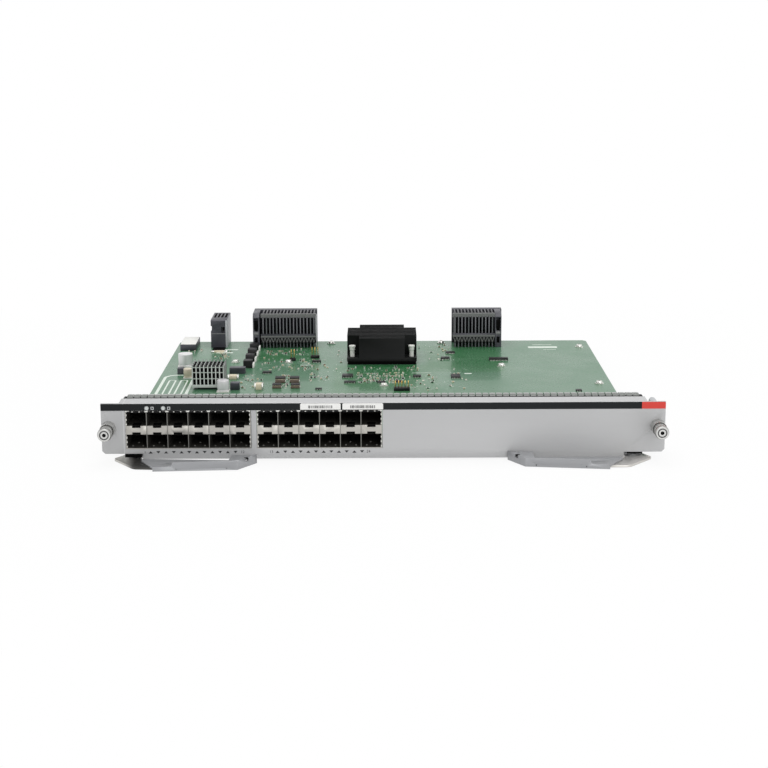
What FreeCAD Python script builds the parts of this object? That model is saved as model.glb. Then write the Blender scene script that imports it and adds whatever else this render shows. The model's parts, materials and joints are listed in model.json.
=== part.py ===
import FreeCAD, Part
import math
import os

from FreeCAD import Vector

os.makedirs("parts", exist_ok=True)

# A line card for a network switch: a faceplate with two stacked port blocks, ejector levers and captive
# screws, in front of a circuit board that lies on a sheet-metal tray and ends in backplane connectors.
# X runs along the faceplate, Y from its front to the rear, Z up. While the pieces are drawn, Y = 0 is the
# faceplate's front and Z = 0 the levers' underside. Sizes are in millimetres.

# Faceplate, one folded sheet
panel_width = 386.0
panel_bottom = 1.2
panel_top = 40.4
panel_sheet = 1.5
panel_corner = 2.0
bend_radius = 0.8
end_step_width = 27.8
end_step_rise = 3.7
top_flange_inset = 12.25
top_flange_depth = 15.0
shelf_drop = 2.2
shelf_depth = 15.5
bottom_flange_inset = 35.0
bottom_flange_depth = 14.0

# Printed stripe along the top of the faceplate
stripe_height = 5.0
stripe_film = 0.2
end_patch_width = 17.8
label_film = 0.15
label_height = 3.6
label_insets = (150.2, 179.1)
label_widths = (27.6, 27.8)
label_drop = 0.3

# Spring-finger gasket on the top flange
finger_pitch = 4.76
finger_gap = 0.8
finger_thickness = 0.35
gasket_foot = 3.0
gasket_reach = 13.6
gasket_rise = 1.5

# Circuit board
board_inset = 10.0
board_front = 4.5
board_rear = 369.0
board_bottom = 5.5
board_thickness = 2.4
board_corner = 3.0

# Tray under the board
tray_inset = 15.0
tray_thickness = 1.2
tray_front_gap = 0.7
tray_rear_inset = 3.0
tray_step_start = 18.0
tray_step_run = 2.5
tray_hem = 1.8

# Places on the board are given as a side, the distance from it, and the distance behind the faceplate.
# The distance counts to the right, from the board's left edge, its middle or its right edge.
LEFT, MIDDLE, RIGHT = -1, 0, 1

# Board screws, seen from above, with their washers and standoffs
board_screws = ((LEFT, 102.4, 279.3), (MIDDLE, 0.7, 190.0), (RIGHT, -83.6, 262.0), (RIGHT, -9.2, 339.0),
                (RIGHT, -9.8, 194.8), (RIGHT, -131.0, 357.7), (LEFT, 136.6, 357.5), (LEFT, 57.3, 280.2))
screw_radius = 1.25
screw_sides = 6
screw_clearance = 0.05
screw_head_radius = 2.8
screw_head_height = 1.7
fastener_sides = 8
washer_sides = 12
washer_radius = 3.9
washer_thickness = 0.5
standoff_radius = 3.0

# Rivets between the faceplate's bottom flange and the tray
flange_rivet_count = 4
rivet_radius = 1.5
rivet_head_radius = 2.6
rivet_head_height = 0.8

# Port blocks: two stacked rows of plug-in ports in a sheet-metal cage
port_pitch = 14.2
port_columns = 6
port_height = 9.7
middle_bar_height = 6.1
cage_wall = 0.4
cage_lift = 0.6
cage_depth = 48.0
cage_front = -0.3
cage_side_gap = 0.35
cage_spring_height = 0.5
first_block_inset = 16.7
block_gap = 4.3
block_count = 2
connector_depth = 10.0
latch_slot_width = 5.7
latch_slot_height = 1.5
latch_slot_depth = 8.0
floor_gap = 2.0
nose_width = 11.0
nose_height = 3.4
nose_depth = 5.0
nose_offset = 2.6
side_spring_thickness = 0.45
side_spring_height = 1.3
side_spring_run = 2.6
side_spring_slope = 1.2
side_springs_per_port = 3
spring_bridge_width = 2.6
moulding_gap = 0.2

# Status light pipes in the stripe
light_pipe_radius = 1.2
light_pipe_length = 9.0
light_pipe_insets = (31.5, 42.8)
light_pipe_drop = 3.3
light_pipe_proud = 0.35

# Ejector levers, drawn closed on the left and mirrored for the right. Their points are given as the distance
# from the faceplate's left end and the distance behind its front.
lever_pivot_place = (21.0, 10.0)
lever_plate_bottom = 0.2
lever_plate_thickness = 1.5
lever_hub_radius = 6.0
lever_open_left = 4.0
pivot_radius = 2.5
pivot_clearance = 0.05
pivot_head_radius = 3.6
pivot_head_height = 0.7
pivot_head_gap = 0.2
pivot_shank_radius = 1.8
pivot_rivet_height = 0.9
lever_washer_radius = 5.0
lever_washer_bore = 2.9
ear_tip = (8.4, -1.2)
ear_front = (26.5, -22.4)
ear_corner = 1.6
plate_front = -22.6
plate_inner = (89.0, -16.4)
grip_lip_thickness = 1.4
grip_height = 6.2
grip_low_height = 3.2
grip_low_length = 13.0
grip_low_radius = 2.2
grip_notch_reach = 4.0
grip_inner = (107.7, -1.4)
grip_bend = (97.0, -18.9)
grip_outer = (40.5, -26.2)
grip_web_rear = -5.2
grip_web_thickness = 1.2
grip_heel = (29.5, -9.6)
grip_tab_length = 17.0
grip_tab_rear = -3.6
grip_tab_thickness = 1.2
grip_hole = (101.6, -9.8)
grip_hole_radius = 1.75
grip_dimples = (89.6, 56.1)
grip_dimple_radius = 0.45
grip_dimple_depth = 0.9
grip_dimple_height = 1.3
grip_rivets = ((49.0, -15.5), (81.0, -12.0))
grip_rivet_radius = 1.6

# Captive screws at the faceplate's ends
captive_inset = 5.0
captive_z = 23.1
ferrule_radius = 5.2
ferrule_bore = 4.75
ferrule_length = 9.0
ferrule_floor = 1.0
knob_radius = 4.4
knob_front = 19.5
knob_rear = 7.6
knob_pocket_radius = 3.75
knob_pocket_depth = 4.6
knob_sides = 16
recess_width = 1.1
recess_length = 5.0
recess_depth = 1.6
neck_radius = 1.3
thread_radius = 1.5
thread_length = 4.0
thread_gap = 0.3
panel_hole_radius = 2.0
spring_wire = 0.6
spring_radius = 2.9
spring_turns = 4
spring_steps = 6
spring_gap = 0.1
thrust_washer_radius = 3.4
thrust_washer_bore = 1.8
thrust_washer_thickness = 0.6

# Backplane connectors on the board's rear edge
wafer_pitch = 3.0
wafer_thickness = 1.25
wafer_front = 340.5
wafer_depth = 20.5
wafer_height = 30.6
wafer_nose = 3.2
mating_depth = 7.5
signal_left = (67.8, 123.9)
signal_right = (-121.3, -76.9)
guide_width = 7.0
guide_slot_width = 3.6
guide_slot_low = 17.0
guide_slot_high = 26.5
organizer_low = 5.2
organizer_high = 12.6
organizer_depth = 0.9
mating_slot_depth = 5.0
mating_slot_width = 1.5
mating_slot_margin = 2.6
wafers_per_slot = 2
power_inset = 30.3
power_width = 14.5
power_front = 342.1
power_rear = 378.0
power_height = 25.1
power_chamfer = 0.9
power_overhang = 1.2
power_blades = 3
power_blade_thickness = 1.5
power_blade_height = 17.0
power_blade_length = 8.0
power_blade_proud = 2.5
power_rear_gap = 0.2
power_notch_depth = 0.9
power_notch = (15.0, 19.6)
power_window = (13.0, 18.6)
power_window_inset = 2.4
power_window_width = 2.8
power_window_depth = 3.0

# Switch chip and its black heat sink
chip_size = 40.0
chip_height = 2.6
sink_centre = (-1.0, 299.6)
sink_core_width = 38.6
sink_core_depth = 60.2
sink_wing_width = 59.0
sink_wing_depth = 32.4
sink_height = 22.8
sink_base = 3.0
sink_fins = 14
sink_fin_thickness = 1.3
pin_inset_x = 4.4
pin_inset_y = 7.6
pin_head_radius = 3.0
pin_head_height = 1.6
pin_body_radius = 2.1
pin_height = 13.6

# Small pin-fin heat sink at the left
crate_inset = 31.7
crate_front = 178.5
crate_width = 25.6
crate_depth = 22.1
crate_height = 20.0
crate_base = 2.4
crate_columns = 9
crate_rows = 4
crate_pin_width = 0.95
crate_pin_depth = 1.6
crate_chip_height = 1.8
crate_chip_inset = 4.0

# Round capacitors: place of the centre, radius, height
capacitors = ((LEFT, 16.5, 266.4, 6.1, 11.2), (LEFT, 23.6, 221.4, 3.6, 8.0), (LEFT, 56.8, 173.2, 4.8, 9.4))
capacitor_foot = 1.0
capacitor_sides = 16

# Board modules and chips: place of the left front corner, width, depth, height
power_modules = ((LEFT, 4.4, 329.5, 13.8, 34.0, 5.6), (LEFT, 56.1, 236.0, 13.0, 7.0, 5.0),
                 (LEFT, 62.0, 177.2, 7.2, 7.0, 5.6), (LEFT, 13.2, 235.0, 5.1, 7.0, 5.0))
module_row_inset = 65.7
module_row_front = 257.5
module_row_count = 4
module_row_pitch = 23.3
module_row_size = (7.6, 8.6, 6.2)
inductors = ((LEFT, 96.0, 201.8, 8.0, 7.4, 4.2), (LEFT, 107.7, 201.8, 7.6, 7.4, 4.2),
             (LEFT, 94.9, 182.1, 7.1, 6.6, 3.2), (LEFT, 109.6, 182.0, 7.1, 6.6, 3.2))
ceramics = ((LEFT, 80.9, 177.6, 7.1, 7.4, 4.6), (LEFT, 56.1, 215.2, 9.3, 6.6, 3.0),
            (LEFT, 32.4, 321.5, 14.0, 3.4, 1.4))
chips = ((MIDDLE, -33.5, 220.4, 8.7, 8.4, 1.6), (MIDDLE, -31.4, 199.6, 9.2, 4.2, 1.4),
         (MIDDLE, 49.6, 288.8, 7.4, 6.0, 1.4), (MIDDLE, 54.4, 312.7, 8.0, 4.6, 1.4),
         (MIDDLE, 55.5, 215.8, 7.5, 11.4, 1.5), (RIGHT, -92.5, 283.6, 16.2, 4.4, 2.2),
         (RIGHT, -31.4, 167.6, 4.6, 4.2, 1.2), (MIDDLE, -4.6, 198.8, 6.4, 4.2, 1.2),
         (MIDDLE, 10.2, 201.0, 5.6, 4.0, 1.2), (MIDDLE, 24.5, 219.4, 6.5, 5.0, 1.6),
         (LEFT, 83.3, 236.2, 7.4, 4.4, 1.6), (MIDDLE, -60.4, 277.7, 7.4, 4.4, 1.8),
         (LEFT, 129.2, 176.6, 5.2, 3.4, 1.2))

# Pin headers: place of the left front corner, and pin height, with the count of columns and rows of each
headers = ((LEFT, 103.2, 285.4, 9.8), (MIDDLE, -62.4, 295.1, 9.8), (MIDDLE, 8.4, 172.0, 7.6))
header_column_counts = (2, 3, 5)
header_row_counts = (1, 1, 2)
header_pitch = 2.54
header_base_height = 2.5
header_pin = 0.64

# Guide pin behind the faceplate at the right
guide_pin_inset = 5.6
guide_pin_drop = 4.9
guide_pin_radius = 2.5
guide_pin_length = 24.0

# Values that follow from the sizes above
half_panel = panel_width / 2
top_flange_width = panel_width - 2 * top_flange_inset
bottom_flange_width = panel_width - 2 * bottom_flange_inset
board_width = panel_width - 2 * board_inset
tray_width = panel_width - 2 * tray_inset
label_centres = [inset - half_panel for inset in label_insets]
light_pipe_x = [inset - half_panel for inset in light_pipe_insets]
captive_x = half_panel - captive_inset
guide_pin_x = half_panel - guide_pin_inset
rivet_pitch = bottom_flange_width / flange_rivet_count
flange_rivets = [(i - (flange_rivet_count - 1) / 2) * rivet_pitch for i in range(flange_rivet_count)]
middle_bar_depth = cage_depth - connector_depth
connector_floor = middle_bar_depth - floor_gap
lever_pivot = (lever_pivot_place[0] - half_panel, lever_pivot_place[1])
power_left = power_inset - board_width / 2
crate_left = crate_inset - board_width / 2
board_top = board_bottom + board_thickness
panel_back = panel_sheet
stripe_bottom = panel_top - stripe_height
flange_top = panel_top
shelf_top = flange_top - shelf_drop
cage_width = port_columns * port_pitch + cage_wall
first_block = first_block_inset - half_panel + cage_width / 2
block_centres = [first_block + i * (cage_width + block_gap) for i in range(block_count)]
floor_bottom = board_top + cage_lift
lower_port = floor_bottom + cage_wall
bar_bottom = lower_port + port_height
bar_top = bar_bottom + middle_bar_height
cage_inner_top = bar_top + port_height
cage_top = cage_inner_top + cage_wall
opening_top = cage_top + cage_spring_height
tray_top = panel_bottom + tray_thickness
tray_front_bottom = panel_bottom + panel_sheet
tray_front_top = tray_front_bottom + tray_thickness
rivet_y = (bottom_flange_depth + panel_sheet) / 2
lever_plate_top = lever_plate_bottom + lever_plate_thickness
swing = math.radians(lever_open_left)
wafer_rear = wafer_front + wafer_depth
signal_rear = wafer_rear + mating_depth
overall_front = (lever_pivot[1] - (grip_outer[0] - lever_pivot_place[0]) * math.sin(swing)
                 + (grip_outer[1] - lever_pivot[1]) * math.cos(swing))
to_origin = Vector(0, -(power_rear + overall_front) / 2, 0)
UP = Vector(0, 0, 1)
REARWARD = Vector(0, 1, 0)


def board_x(side, distance):
    """The X of a place on the board."""
    return side * board_width / 2 + distance


def block(left, right, front, rear, low, high):
    """A box between two values on each axis."""
    return Part.makeBox(right - left, rear - front, high - low, Vector(left, front, low))


def upright(x, y, low, high, radius):
    """A round bar that stands upright."""
    return Part.makeCylinder(radius, high - low, Vector(x, y, low), UP)


def along_y(x, z, front, rear, radius):
    """A round bar that lies from front to rear."""
    return Part.makeCylinder(radius, rear - front, Vector(x, front, z), REARWARD)


def ring(x, y, radius, sides):
    """The corners of a regular outline round a centre."""
    angles = [2 * math.pi * (i + 0.5) / sides for i in range(sides)]
    return [(x + radius * math.cos(a), y + radius * math.sin(a)) for a in angles]


def peg(x, y, low, high, radius, sides=fastener_sides):
    """An upright bar with flat sides, for the many small round pieces and their holes."""
    return plate(ring(x, y, radius, sides), low, high)


def peg_along_y(x, z, front, rear, radius, sides=washer_sides):
    """A bar with flat sides that lies from front to rear."""
    return lying_plate(ring(x, z, radius, sides), front, rear)


def lying_plate(points, front, rear):
    """A plate whose outline is given by (x, z) points, as thick as it is deep."""
    corners = [Vector(x, front, z) for x, z in points]
    return Part.Face(Part.makePolygon(corners + corners[:1])).extrude(Vector(0, rear - front, 0))


def plate(points, low, high):
    """A flat plate with the outline given by (x, y) points."""
    corners = [Vector(x, y, low) for x, y in points]
    return Part.Face(Part.makePolygon(corners + corners[:1])).extrude(Vector(0, 0, high - low))


def strip_along_x(points, left, right):
    """A bar along X with the section given by (y, z) points."""
    corners = [Vector(left, y, z) for y, z in points]
    return Part.Face(Part.makePolygon(corners + corners[:1])).extrude(Vector(right - left, 0, 0))


def joined(shapes):
    """One solid made of touching shapes, with the seams between flat faces removed."""
    return shapes[0].fuse(shapes[1:]).removeSplitter()


def edges_where(shape, test):
    """The edges whose every vertex passes a test."""
    return [e for e in shape.Edges if all(test(v.Point) for v in e.Vertexes)]


def near(a, b):
    return abs(a - b) < 1e-4


def mirrored(shape):
    """The same piece on the other side of the card."""
    return shape.mirror(Vector(0, 0, 0), Vector(1, 0, 0))


def save(node, solids):
    """Moves the solids to the part's origin, the middle of its underside, and writes them as one node."""
    moved = [s.translated(to_origin) for s in solids]
    shape = moved[0] if len(moved) == 1 else Part.makeCompound(moved)
    shape.exportStep("parts/" + node + ".step")


def make_faceplate():
    """The folded sheet: wall, top flange with a lowered shelf for the gasket, and bottom flange."""
    wall = block(-half_panel, half_panel, 0, panel_sheet, panel_bottom, panel_top)
    flange_half = top_flange_width / 2
    shelf_rear = top_flange_depth + shelf_depth
    flange = strip_along_x([(0, flange_top - panel_sheet), (0, flange_top), (top_flange_depth, flange_top),
                            (top_flange_depth, shelf_top), (shelf_rear, shelf_top),
                            (shelf_rear, shelf_top - panel_sheet),
                            (top_flange_depth - panel_sheet, shelf_top - panel_sheet),
                            (top_flange_depth - panel_sheet, flange_top - panel_sheet)],
                           -flange_half, flange_half)
    foot_half = bottom_flange_width / 2
    foot = block(-foot_half, foot_half, 0, bottom_flange_depth, panel_bottom, panel_bottom + panel_sheet)
    sheet = joined([wall, flange, foot])
    top_edges = edges_where(sheet, lambda p: near(p.y, 0) and near(p.z, panel_top))
    sheet = sheet.makeChamfer(bend_radius / 2, top_edges)
    step_inner = half_panel - end_step_width
    cuts = [block(side * step_inner - (end_step_width if side < 0 else 0),
                  side * step_inner + (end_step_width if side > 0 else 0),
                  -1, panel_sheet + 1, panel_bottom - 1, panel_bottom + end_step_rise) for side in (-1, 1)]
    half_opening = cage_width / 2 + cage_side_gap
    for centre in block_centres:
        cuts.append(block(centre - half_opening, centre + half_opening, -1, panel_sheet + 1,
                          floor_bottom, opening_top))
    for side in (-1, 1):
        cuts.append(peg_along_y(side * captive_x, captive_z, -1, panel_sheet + 1, panel_hole_radius,
                                fastener_sides))
    for x in light_pipe_x:
        cuts.append(peg_along_y(x, panel_top - light_pipe_drop, -1, panel_sheet + 1, light_pipe_radius,
                                fastener_sides))
    for x in flange_rivets:
        cuts.append(peg(x, rivet_y, panel_bottom - 1, tray_front_bottom + 1, rivet_radius + screw_clearance,
                        screw_sides))
    sheet = sheet.cut(cuts)
    ends = [e for e in sheet.Edges
            if all(near(abs(v.X), half_panel) for v in e.Vertexes)
            and abs(e.Vertexes[0].Y - e.Vertexes[-1].Y) > 1]
    return sheet.makeChamfer(panel_corner, [e for e in ends if e.Vertexes[0].Z < captive_z])


def make_stripe():
    """The dark printed film, open round the light pipes, and the red patch at its right end."""
    film_top = panel_top - bend_radius
    patch_left = half_panel - end_patch_width
    film = block(-half_panel, patch_left, -stripe_film, 0, stripe_bottom, film_top)
    for x in light_pipe_x:
        film = film.cut(peg_along_y(x, panel_top - light_pipe_drop, -1, 1, light_pipe_radius, fastener_sides))
    save("stripe_film", [film])
    save("stripe_end_patch", [block(patch_left, half_panel, -stripe_film, 0, stripe_bottom, film_top)])
    label_top = panel_top - bend_radius - label_drop
    labels = []
    for centre, width in zip(label_centres, label_widths):
        labels.append(block(centre - width / 2, centre + width / 2, -stripe_film - label_film, -stripe_film,
                            label_top - label_height, label_top))
    save("stripe_labels", labels)


def make_gasket():
    """A comb of spring fingers that rise over the shelf to the rear, joined along their foot."""
    front = top_flange_depth + finger_gap
    half = top_flange_width / 2
    t = finger_thickness
    reach = front + gasket_reach
    top = shelf_top + gasket_rise
    comb = strip_along_x([(front, shelf_top), (front, shelf_top + t), (front + gasket_foot, shelf_top + t),
                          (reach, top + t), (reach, top), (front + gasket_foot, shelf_top)], -half, half)
    count = int(top_flange_width / finger_pitch)
    first = -(count / 2 - 1) * finger_pitch
    slots = []
    for i in range(count - 1):
        x = first + i * finger_pitch
        slots.append(block(x - finger_gap / 2, x + finger_gap / 2, front + gasket_foot, reach + 1,
                           shelf_top - 1, top + 2))
    return comb.cut(slots)


def make_board():
    """The bare circuit board with its screw holes and rounded rear corners."""
    half = board_width / 2
    board = block(-half, half, board_front, board_rear, board_bottom, board_top)
    rear_corners = edges_where(board, lambda p: near(p.y, board_rear) and near(abs(p.x), half))
    board = board.makeChamfer(board_corner, [e for e in rear_corners if near(e.Length, board_thickness)])
    return board.cut([peg(x, y, board_bottom - 1, board_top + 1, screw_radius + screw_clearance, screw_sides)
                      for x, y in screw_places])


def make_tray():
    """The tray: a flat floor, a step up over the faceplate's flange, and a hem along each side."""
    half = tray_width / 2
    front = panel_back + tray_front_gap
    rear = board_rear - tray_rear_inset
    step_end = tray_step_start + tray_step_run
    floor = strip_along_x([(front, tray_front_bottom), (tray_step_start, tray_front_bottom),
                           (step_end, panel_bottom), (rear, panel_bottom), (rear, tray_top),
                           (step_end + tray_thickness / 2, tray_top),
                           (tray_step_start + tray_thickness / 2, tray_front_top), (front, tray_front_top)],
                          -half, half)
    inner_half = half - tray_thickness
    hems = [block(min(side * half, side * inner_half), max(side * half, side * inner_half),
                  step_end + tray_thickness, rear, tray_top, tray_top + tray_hem) for side in (-1, 1)]
    tray = joined([floor] + hems)
    holes = [peg(x, rivet_y, tray_front_bottom - 1, tray_front_top + 1, rivet_radius + screw_clearance,
                 screw_sides) for x in flange_rivets]
    for side in (-1, 1):
        holes.append(peg(side * lever_pivot[0], lever_pivot[1], tray_front_bottom - 1, tray_front_top + 1,
                         pivot_shank_radius + screw_clearance))
    return tray.cut(holes)


def make_rivet(x, y):
    """A rivet with a low head above the tray, flush with the flange's underside."""
    shank = peg(x, y, panel_bottom, tray_front_top, rivet_radius, screw_sides)
    return joined([shank, peg(x, y, tray_front_top, tray_front_top + rivet_head_height, rivet_head_radius,
                              screw_sides)])


def make_standoff(x, y):
    """A six-sided threaded spacer between the tray and the board."""
    spacer = peg(x, y, tray_top, board_bottom, standoff_radius, screw_sides)
    return spacer.cut(peg(x, y, tray_top - 1, board_bottom + 1, screw_radius + screw_clearance, screw_sides))


def make_star_washer(x, y):
    """The washer under a board screw's head."""
    washer = peg(x, y, board_top, board_top + washer_thickness, washer_radius)
    return washer.cut(peg(x, y, board_top - 1, board_top + 1, screw_radius + screw_clearance, screw_sides))


def make_board_screw(x, y):
    """A screw through the washer and the board into the standoff."""
    seat = board_top + washer_thickness
    head = peg(x, y, seat, seat + screw_head_height, screw_head_radius)
    return joined([head, peg(x, y, tray_top + screw_clearance, seat, screw_radius, screw_sides)])


def make_cage(centre):
    """The outer shell of a port block: floor, sides, top and rear wall folded from one sheet."""
    half = cage_width / 2
    inner = half - cage_wall
    shell = block(centre - half, centre + half, cage_front, cage_depth, floor_bottom, cage_top)
    shell = shell.cut([block(centre - inner, centre + inner, cage_front - 1, cage_depth - cage_wall,
                             lower_port, cage_inner_top),
                       block(centre - inner, centre + inner, connector_floor, cage_depth - cage_wall,
                             floor_bottom - 1, lower_port + 1)])
    skirts = [block(centre - half, centre - inner, panel_back + cage_wall, cage_depth, board_top, floor_bottom),
              block(centre + inner, centre + half, panel_back + cage_wall, cage_depth, board_top, floor_bottom)]
    return joined([shell] + skirts)


def column_centres(centre):
    first = centre - (port_columns - 1) / 2 * port_pitch
    return [first + i * port_pitch for i in range(port_columns)]


def make_dividers(centre):
    """The thin walls between neighbouring columns."""
    walls = []
    for x in column_centres(centre)[1:]:
        middle = x - port_pitch / 2
        walls.append(block(middle - cage_wall / 2, middle + cage_wall / 2, cage_front, cage_depth - cage_wall,
                           lower_port, cage_inner_top))
    return walls


def make_middle_bar(x):
    """The bar between an upper and a lower port, with a latch slot in its top and its underside."""
    half = (port_pitch - cage_wall) / 2
    bar = block(x - half, x + half, cage_front, middle_bar_depth, bar_bottom, bar_top)
    slot = latch_slot_width / 2
    slot_rear = cage_front + latch_slot_depth
    return bar.cut([block(x - slot, x + slot, cage_front - 1, slot_rear,
                          bar_top - latch_slot_height, bar_top + 1),
                    block(x - slot, x + slot, cage_front - 1, slot_rear, bar_bottom - 1,
                          bar_bottom + latch_slot_height)])


def make_port_connector(x):
    """The moulded connector of one column: a body and a nose in each port."""
    half = (port_pitch - cage_wall) / 2 - moulding_gap
    front = middle_bar_depth + cage_wall
    body = block(x - half, x + half, front, cage_depth - cage_wall, board_top, cage_inner_top - moulding_gap)
    noses = [block(x - nose_width / 2, x + nose_width / 2, front - nose_depth, front, low, low + nose_height)
             for low in (bar_bottom - nose_offset - nose_height, bar_top + nose_offset)]
    return joined([body] + noses)


def make_cage_springs(centre):
    """Grounding springs: slanted ones on the end walls, and small bridges over the walls between the ports."""
    springs = []
    step = port_height / side_springs_per_port
    for side in (-1, 1):
        wall = centre + side * (cage_width / 2 - cage_wall)
        inward = wall - side * side_spring_thickness
        for base in (lower_port, bar_top):
            for i in range(side_springs_per_port):
                low = base + (i + 0.5) * step - side_spring_height / 2 - side_spring_slope / 2
                springs.append(strip_along_x(
                    [(0, low), (side_spring_run, low + side_spring_slope),
                     (side_spring_run, low + side_spring_slope + side_spring_height),
                     (0, low + side_spring_height)],
                    min(wall, inward), max(wall, inward)))
    bridges = [x - port_pitch / 2 for x in column_centres(centre)[1:]]
    bridges += [centre + side * (cage_width - spring_bridge_width) / 2 for side in (-1, 1)]
    for x in bridges:
        springs.append(block(x - spring_bridge_width / 2, x + spring_bridge_width / 2, cage_front, panel_sheet,
                             cage_top, opening_top))
    return springs


def make_ports():
    """Both port blocks, each a cage, its dividers, bars, connectors and springs."""
    for side, centre in zip(("left", "right"), block_centres):
        columns = column_centres(centre)
        save("cage_" + side, [make_cage(centre)])
        save("cage_dividers_" + side, make_dividers(centre))
        save("cage_middle_bars_" + side, [make_middle_bar(x) for x in columns])
        save("port_connectors_" + side, [make_port_connector(x) for x in columns])
        save("cage_springs_" + side, make_cage_springs(centre))


def make_light_pipe(x):
    """A clear rod from behind the faceplate to just proud of the stripe."""
    front = -stripe_film - light_pipe_proud
    return peg_along_y(x, panel_top - light_pipe_drop, front, front + light_pipe_length,
                       light_pipe_radius - screw_clearance, fastener_sides)


def offset_line(a, b, distance):
    """Two points moved sideways, to the left of the way from a to b."""
    length = math.hypot(b[0] - a[0], b[1] - a[1])
    nx = -(b[1] - a[1]) / length * distance
    ny = (b[0] - a[0]) / length * distance
    return (a[0] + nx, a[1] + ny), (b[0] + nx, b[1] + ny)


def crossing(a, b, c, d):
    """Where the line through a and b meets the line through c and d."""
    rx, ry = b[0] - a[0], b[1] - a[1]
    sx, sy = d[0] - c[0], d[1] - c[1]
    t = ((c[0] - a[0]) * sy - (c[1] - a[1]) * sx) / (rx * sy - ry * sx)
    return a[0] + t * rx, a[1] + t * ry


def from_end(point):
    """A lever point as X and Y."""
    return point[0] - half_panel, point[1]


def make_lever_plate():
    """The steel plate of the left lever: hub, ear and the tongue under the grip."""
    px, py = lever_pivot
    ear = (from_end(ear_tip), from_end(ear_front))
    inner_x, inner_y = from_end(plate_inner)
    hub_left = px - lever_hub_radius
    hub_right = px + lever_hub_radius
    outline = [ear[0], ear[1], (from_end(grip_outer)[0], plate_front), (inner_x, inner_y),
               (inner_x, grip_web_rear), (hub_right + lever_hub_radius / 2, grip_web_rear + 1), (hub_right, 0),
               (hub_right, py), (hub_left, py)]
    tongue = plate(outline, lever_plate_bottom, lever_plate_top)
    rounded = [e for e in tongue.Edges if near(e.Length, lever_plate_thickness)
               and any(near(e.Vertexes[0].X, p[0]) and near(e.Vertexes[0].Y, p[1]) for p in ear)]
    tongue = tongue.makeChamfer(ear_corner, rounded)
    hub = peg(px, py, lever_plate_bottom, lever_plate_top, lever_hub_radius, knob_sides)
    lever = joined([tongue, hub])
    cuts = [upright(px, py, lever_plate_bottom - 1, lever_plate_top + 1, pivot_radius + pivot_clearance),
            peg(px, py, lever_plate_bottom - 1, lever_plate_bottom + pivot_head_height + pivot_head_gap,
                pivot_head_radius + pivot_head_gap * 2, washer_sides)]
    for place in grip_rivets:
        x, y = from_end(place)
        cuts.append(peg(x, y, lever_plate_bottom - 1, lever_plate_top + 1, grip_rivet_radius + screw_clearance))
    return lever.cut(cuts)


def make_grip():
    """The moulded finger grip of the left lever: web on the plate, front lip and a tab with a hole."""
    inner, bend, outer = from_end(grip_inner), from_end(grip_bend), from_end(grip_outer)
    heel_x, heel_y = from_end(grip_heel)
    lip_a, lip_b = offset_line(inner, bend, -grip_lip_thickness)
    lip_c, lip_d = offset_line(bend, outer, -grip_lip_thickness)
    knee = crossing(lip_a, lip_b, lip_c, lip_d)
    lip = plate([inner, bend, outer, lip_d, knee, lip_a], 0, grip_height)
    low_end = outer[0] + grip_low_length
    notch_top = grip_height + 1
    steps = [(low_end - grip_low_radius * (1 - math.sin(a)),
              grip_low_height + grip_low_radius * (1 - math.cos(a)))
             for a in (0, math.pi / 6, math.pi / 3, math.pi / 2)]
    notch_left = outer[0] - 2
    notch = lying_plate([(notch_left, grip_low_height)] + steps + [(low_end, notch_top), (notch_left, notch_top)],
                        outer[1] - 1, plate_front + grip_notch_reach)
    web_low = lever_plate_top
    web_top = web_low + grip_web_thickness
    web = plate([knee, lip_d, outer, (heel_x, heel_y), (heel_x, grip_web_rear),
                 (inner[0] - grip_lip_thickness * 2, grip_web_rear)], web_low, web_top)
    tab_left = inner[0] - grip_tab_length
    tab_front = crossing((tab_left, 0), (tab_left, 1), lip_c, lip_d)
    tab_corner = crossing((tab_left, grip_tab_rear), (0, grip_tab_rear), lip_a, lip_b)
    tab = plate([tab_corner, knee, tab_front, (tab_left, grip_tab_rear)],
                grip_height - grip_tab_thickness, grip_height)
    grip = joined([lip.cut(notch), web, tab])
    hole_x, hole_y = from_end(grip_hole)
    hole_bottom = (web_top + grip_height - grip_tab_thickness) / 2
    cuts = [peg(hole_x, hole_y, hole_bottom, grip_height + 1, grip_hole_radius, washer_sides)]
    slope = (outer[1] - bend[1]) / (outer[0] - bend[0])
    for inset in grip_dimples:
        x = inset - half_panel
        face_y = bend[1] + (x - bend[0]) * slope
        cuts.append(peg_along_y(x, grip_dimple_height, face_y - 1, face_y + grip_dimple_depth,
                                grip_dimple_radius, screw_sides))
    for place in grip_rivets:
        x, y = from_end(place)
        cuts.append(peg(x, y, web_low - 1, web_top + 1, grip_rivet_radius + screw_clearance))
    return grip.cut(cuts)


def make_grip_rivet(place):
    """A flush rivet that holds the grip on the plate."""
    x, y = from_end(place)
    return peg(x, y, lever_plate_bottom, lever_plate_top + grip_web_thickness, grip_rivet_radius)


def make_pivot():
    """The left lever's pivot: a head in the plate's counterbore, a shoulder, and a riveted end on the tray."""
    x, y = lever_pivot
    head_top = lever_plate_bottom + pivot_head_height
    return joined([peg(x, y, lever_plate_bottom, head_top, pivot_head_radius, washer_sides),
                   peg(x, y, head_top, tray_front_bottom, pivot_radius, knob_sides),
                   peg(x, y, tray_front_bottom, tray_front_top, pivot_shank_radius),
                   peg(x, y, tray_front_top, tray_front_top + pivot_rivet_height, pivot_head_radius)])


def make_lever_washer():
    """The thin ring between the left lever and the tray."""
    x, y = lever_pivot
    washer = peg(x, y, lever_plate_top, tray_front_bottom, lever_washer_radius)
    return washer.cut(peg(x, y, lever_plate_top - 1, tray_front_bottom + 1, lever_washer_bore))


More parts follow.
